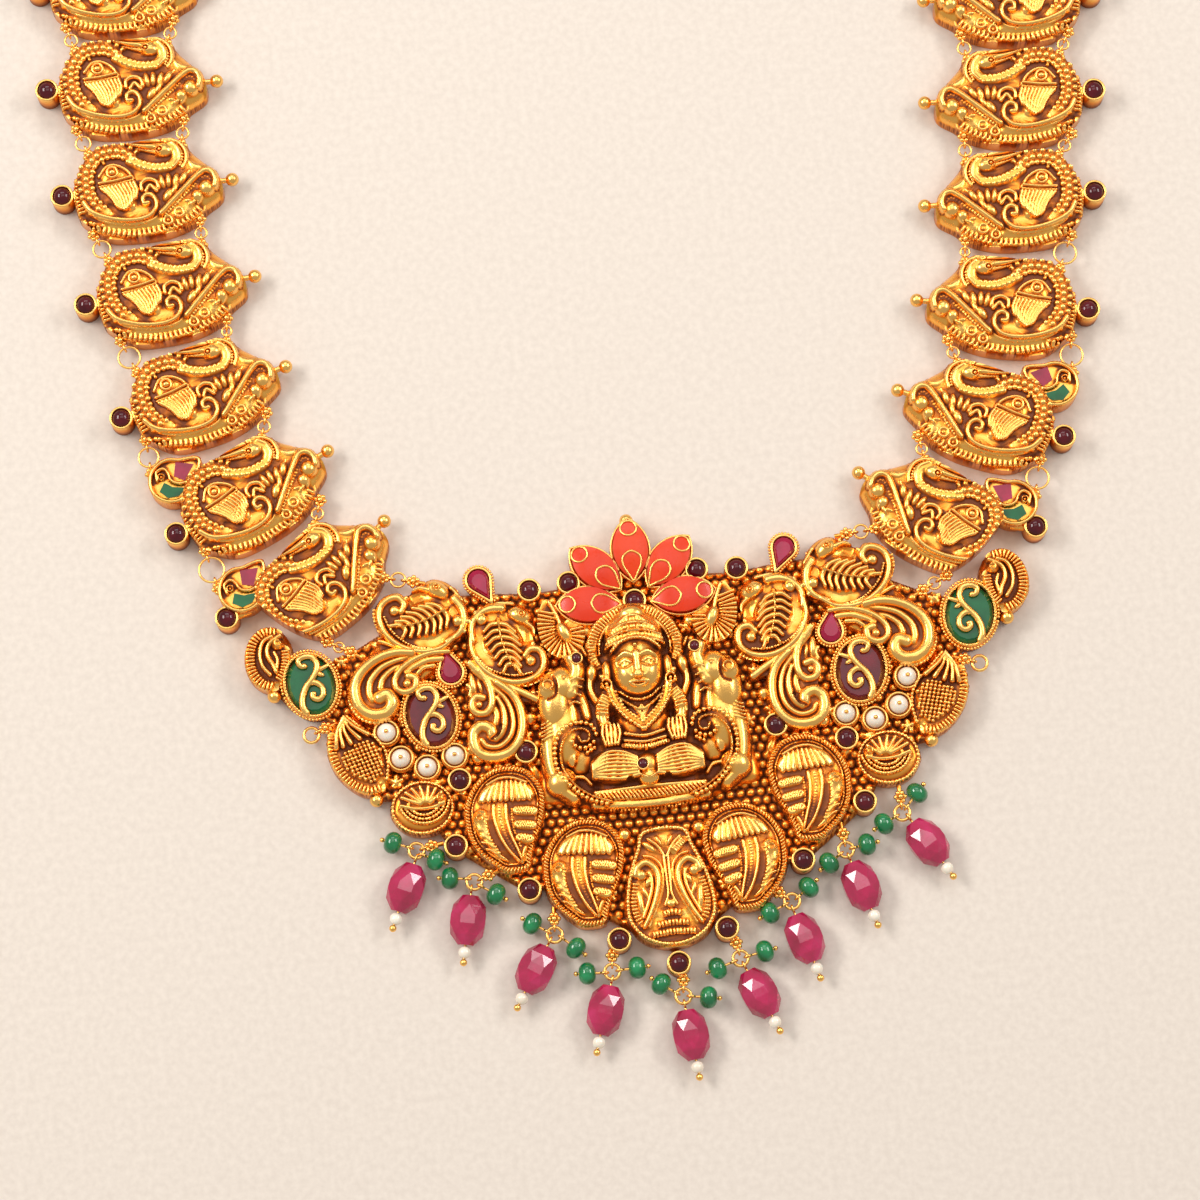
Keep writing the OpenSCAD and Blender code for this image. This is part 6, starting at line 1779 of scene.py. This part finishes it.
# %% Small garnets at the trunks and in the lap
small = []
for x, y, z in SMALL_GARNETS:
    gem = copy_of(grain_form)
    gem.data.transform(Matrix.Translation((x, y, z + 0.45)) @ Matrix.Diagonal((0.8, 0.8, 0.5, 1)))
    small.append(gem)
gems = join(small, "small_garnets")
settle(gems, gems.name, copy=False)
paint(gems, GARNET)
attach(gems, "root")

# %% [markdown]
# ## Floor, light and camera
# The necklace lies on a pale floor. Two large soft lamps from the left and the right put the long
# highlights on the stones, a third from the top fills the relief, and a broad weak panel overhead
# is what level gold mirrors. A dim world keeps the hollows dark. The camera looks down at the
# angle of the photograph.

# %% Floor
bpy.ops.object.select_all(action="DESELECT")
bpy.ops.mesh.primitive_plane_add(size=3.0, location=(0, 0.1, -0.0001))
floor = bpy.context.object
floor.name = floor.data.name = "floor"
pale, nodes, links, shader = new_material("pale floor")
weave = noise(nodes, links, 900, 2)
tone = ramp(nodes, links, weave.outputs["Fac"], [(0.3, (0.64, 0.565, 0.495)), (0.7, (0.70, 0.625, 0.55))])
links.new(tone.outputs["Color"], shader.inputs["Base Color"])
shader.inputs["Roughness"].default_value = 0.8
floor.data.materials.append(pale)
floor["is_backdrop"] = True

# %% Lamps
AIM_AT = np.array([-0.0057, 0.01975, 0.0])


def facing(place, target, up=(0.0, 1.0, 0.0)):
    """A turn that looks from place to target."""
    ahead = (target - place) / np.linalg.norm(target - place)
    side = np.cross(ahead, up)
    side /= np.linalg.norm(side)
    return Matrix([side, np.cross(side, ahead), -ahead]).transposed().to_4x4()


def lamp(name, place, wide, high, power, colour=(1, 1, 1)):
    data = bpy.data.lights.new(name, "AREA")
    data.shape = "RECTANGLE"
    data.size, data.size_y, data.energy, data.color = wide, high, power, colour
    obj = bpy.data.objects.new(name, data)
    bpy.context.collection.objects.link(obj)
    place = np.array(place, float)
    obj.matrix_world = Matrix.Translation(place) @ facing(place, AIM_AT)


lamp("key left", (-0.55, 0.25, 0.62), 0.24, 0.46, 4.2, (1.0, 0.97, 0.94))
lamp("key right", (0.60, 0.20, 0.60), 0.22, 0.44, 2.7, (1.0, 0.98, 0.96))
lamp("top", (0.0, 0.75, 0.70), 0.60, 0.26, 1.6)
lamp("panel", (0.05, 0.24, 0.74), 0.50, 0.40, 0.95)
world = bpy.data.worlds.new("soft room")
bpy.context.scene.world = world
world.use_nodes = True
world.node_tree.nodes["Background"].inputs["Color"].default_value = (1.0, 0.97, 0.93, 1)
world.node_tree.nodes["Background"].inputs["Strength"].default_value = 0.5

# %% Camera
CAMERA_AT, CAMERA_UP = np.array([-0.0205, -0.1146, 0.6358]), np.array([0.107, 0.972, 0.208])
camera = bpy.data.objects.new("camera", bpy.data.cameras.new("camera"))
bpy.context.collection.objects.link(camera)
camera.matrix_world = Matrix.Translation(CAMERA_AT) @ facing(CAMERA_AT, AIM_AT, CAMERA_UP)
camera.data.lens, camera.data.sensor_width = 117, 36
camera.data.clip_start = 0.01
bpy.context.scene.camera = camera
bpy.context.scene.view_settings.view_transform = "Standard"

# %% Clear the forms, print the size and finish
for form in [obj for obj in bpy.data.objects if " form" in obj.name]:
    bpy.data.objects.remove(form)
count = sum(len(p.vertices) - 2 for o in bpy.data.objects if o.type == "MESH" and o.name not in frame["nodes"]
            for p in o.data.polygons)
print("triangles added:", count)
size = {"cad": cad_box, "visual": [list(corner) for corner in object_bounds()]}
print(size)
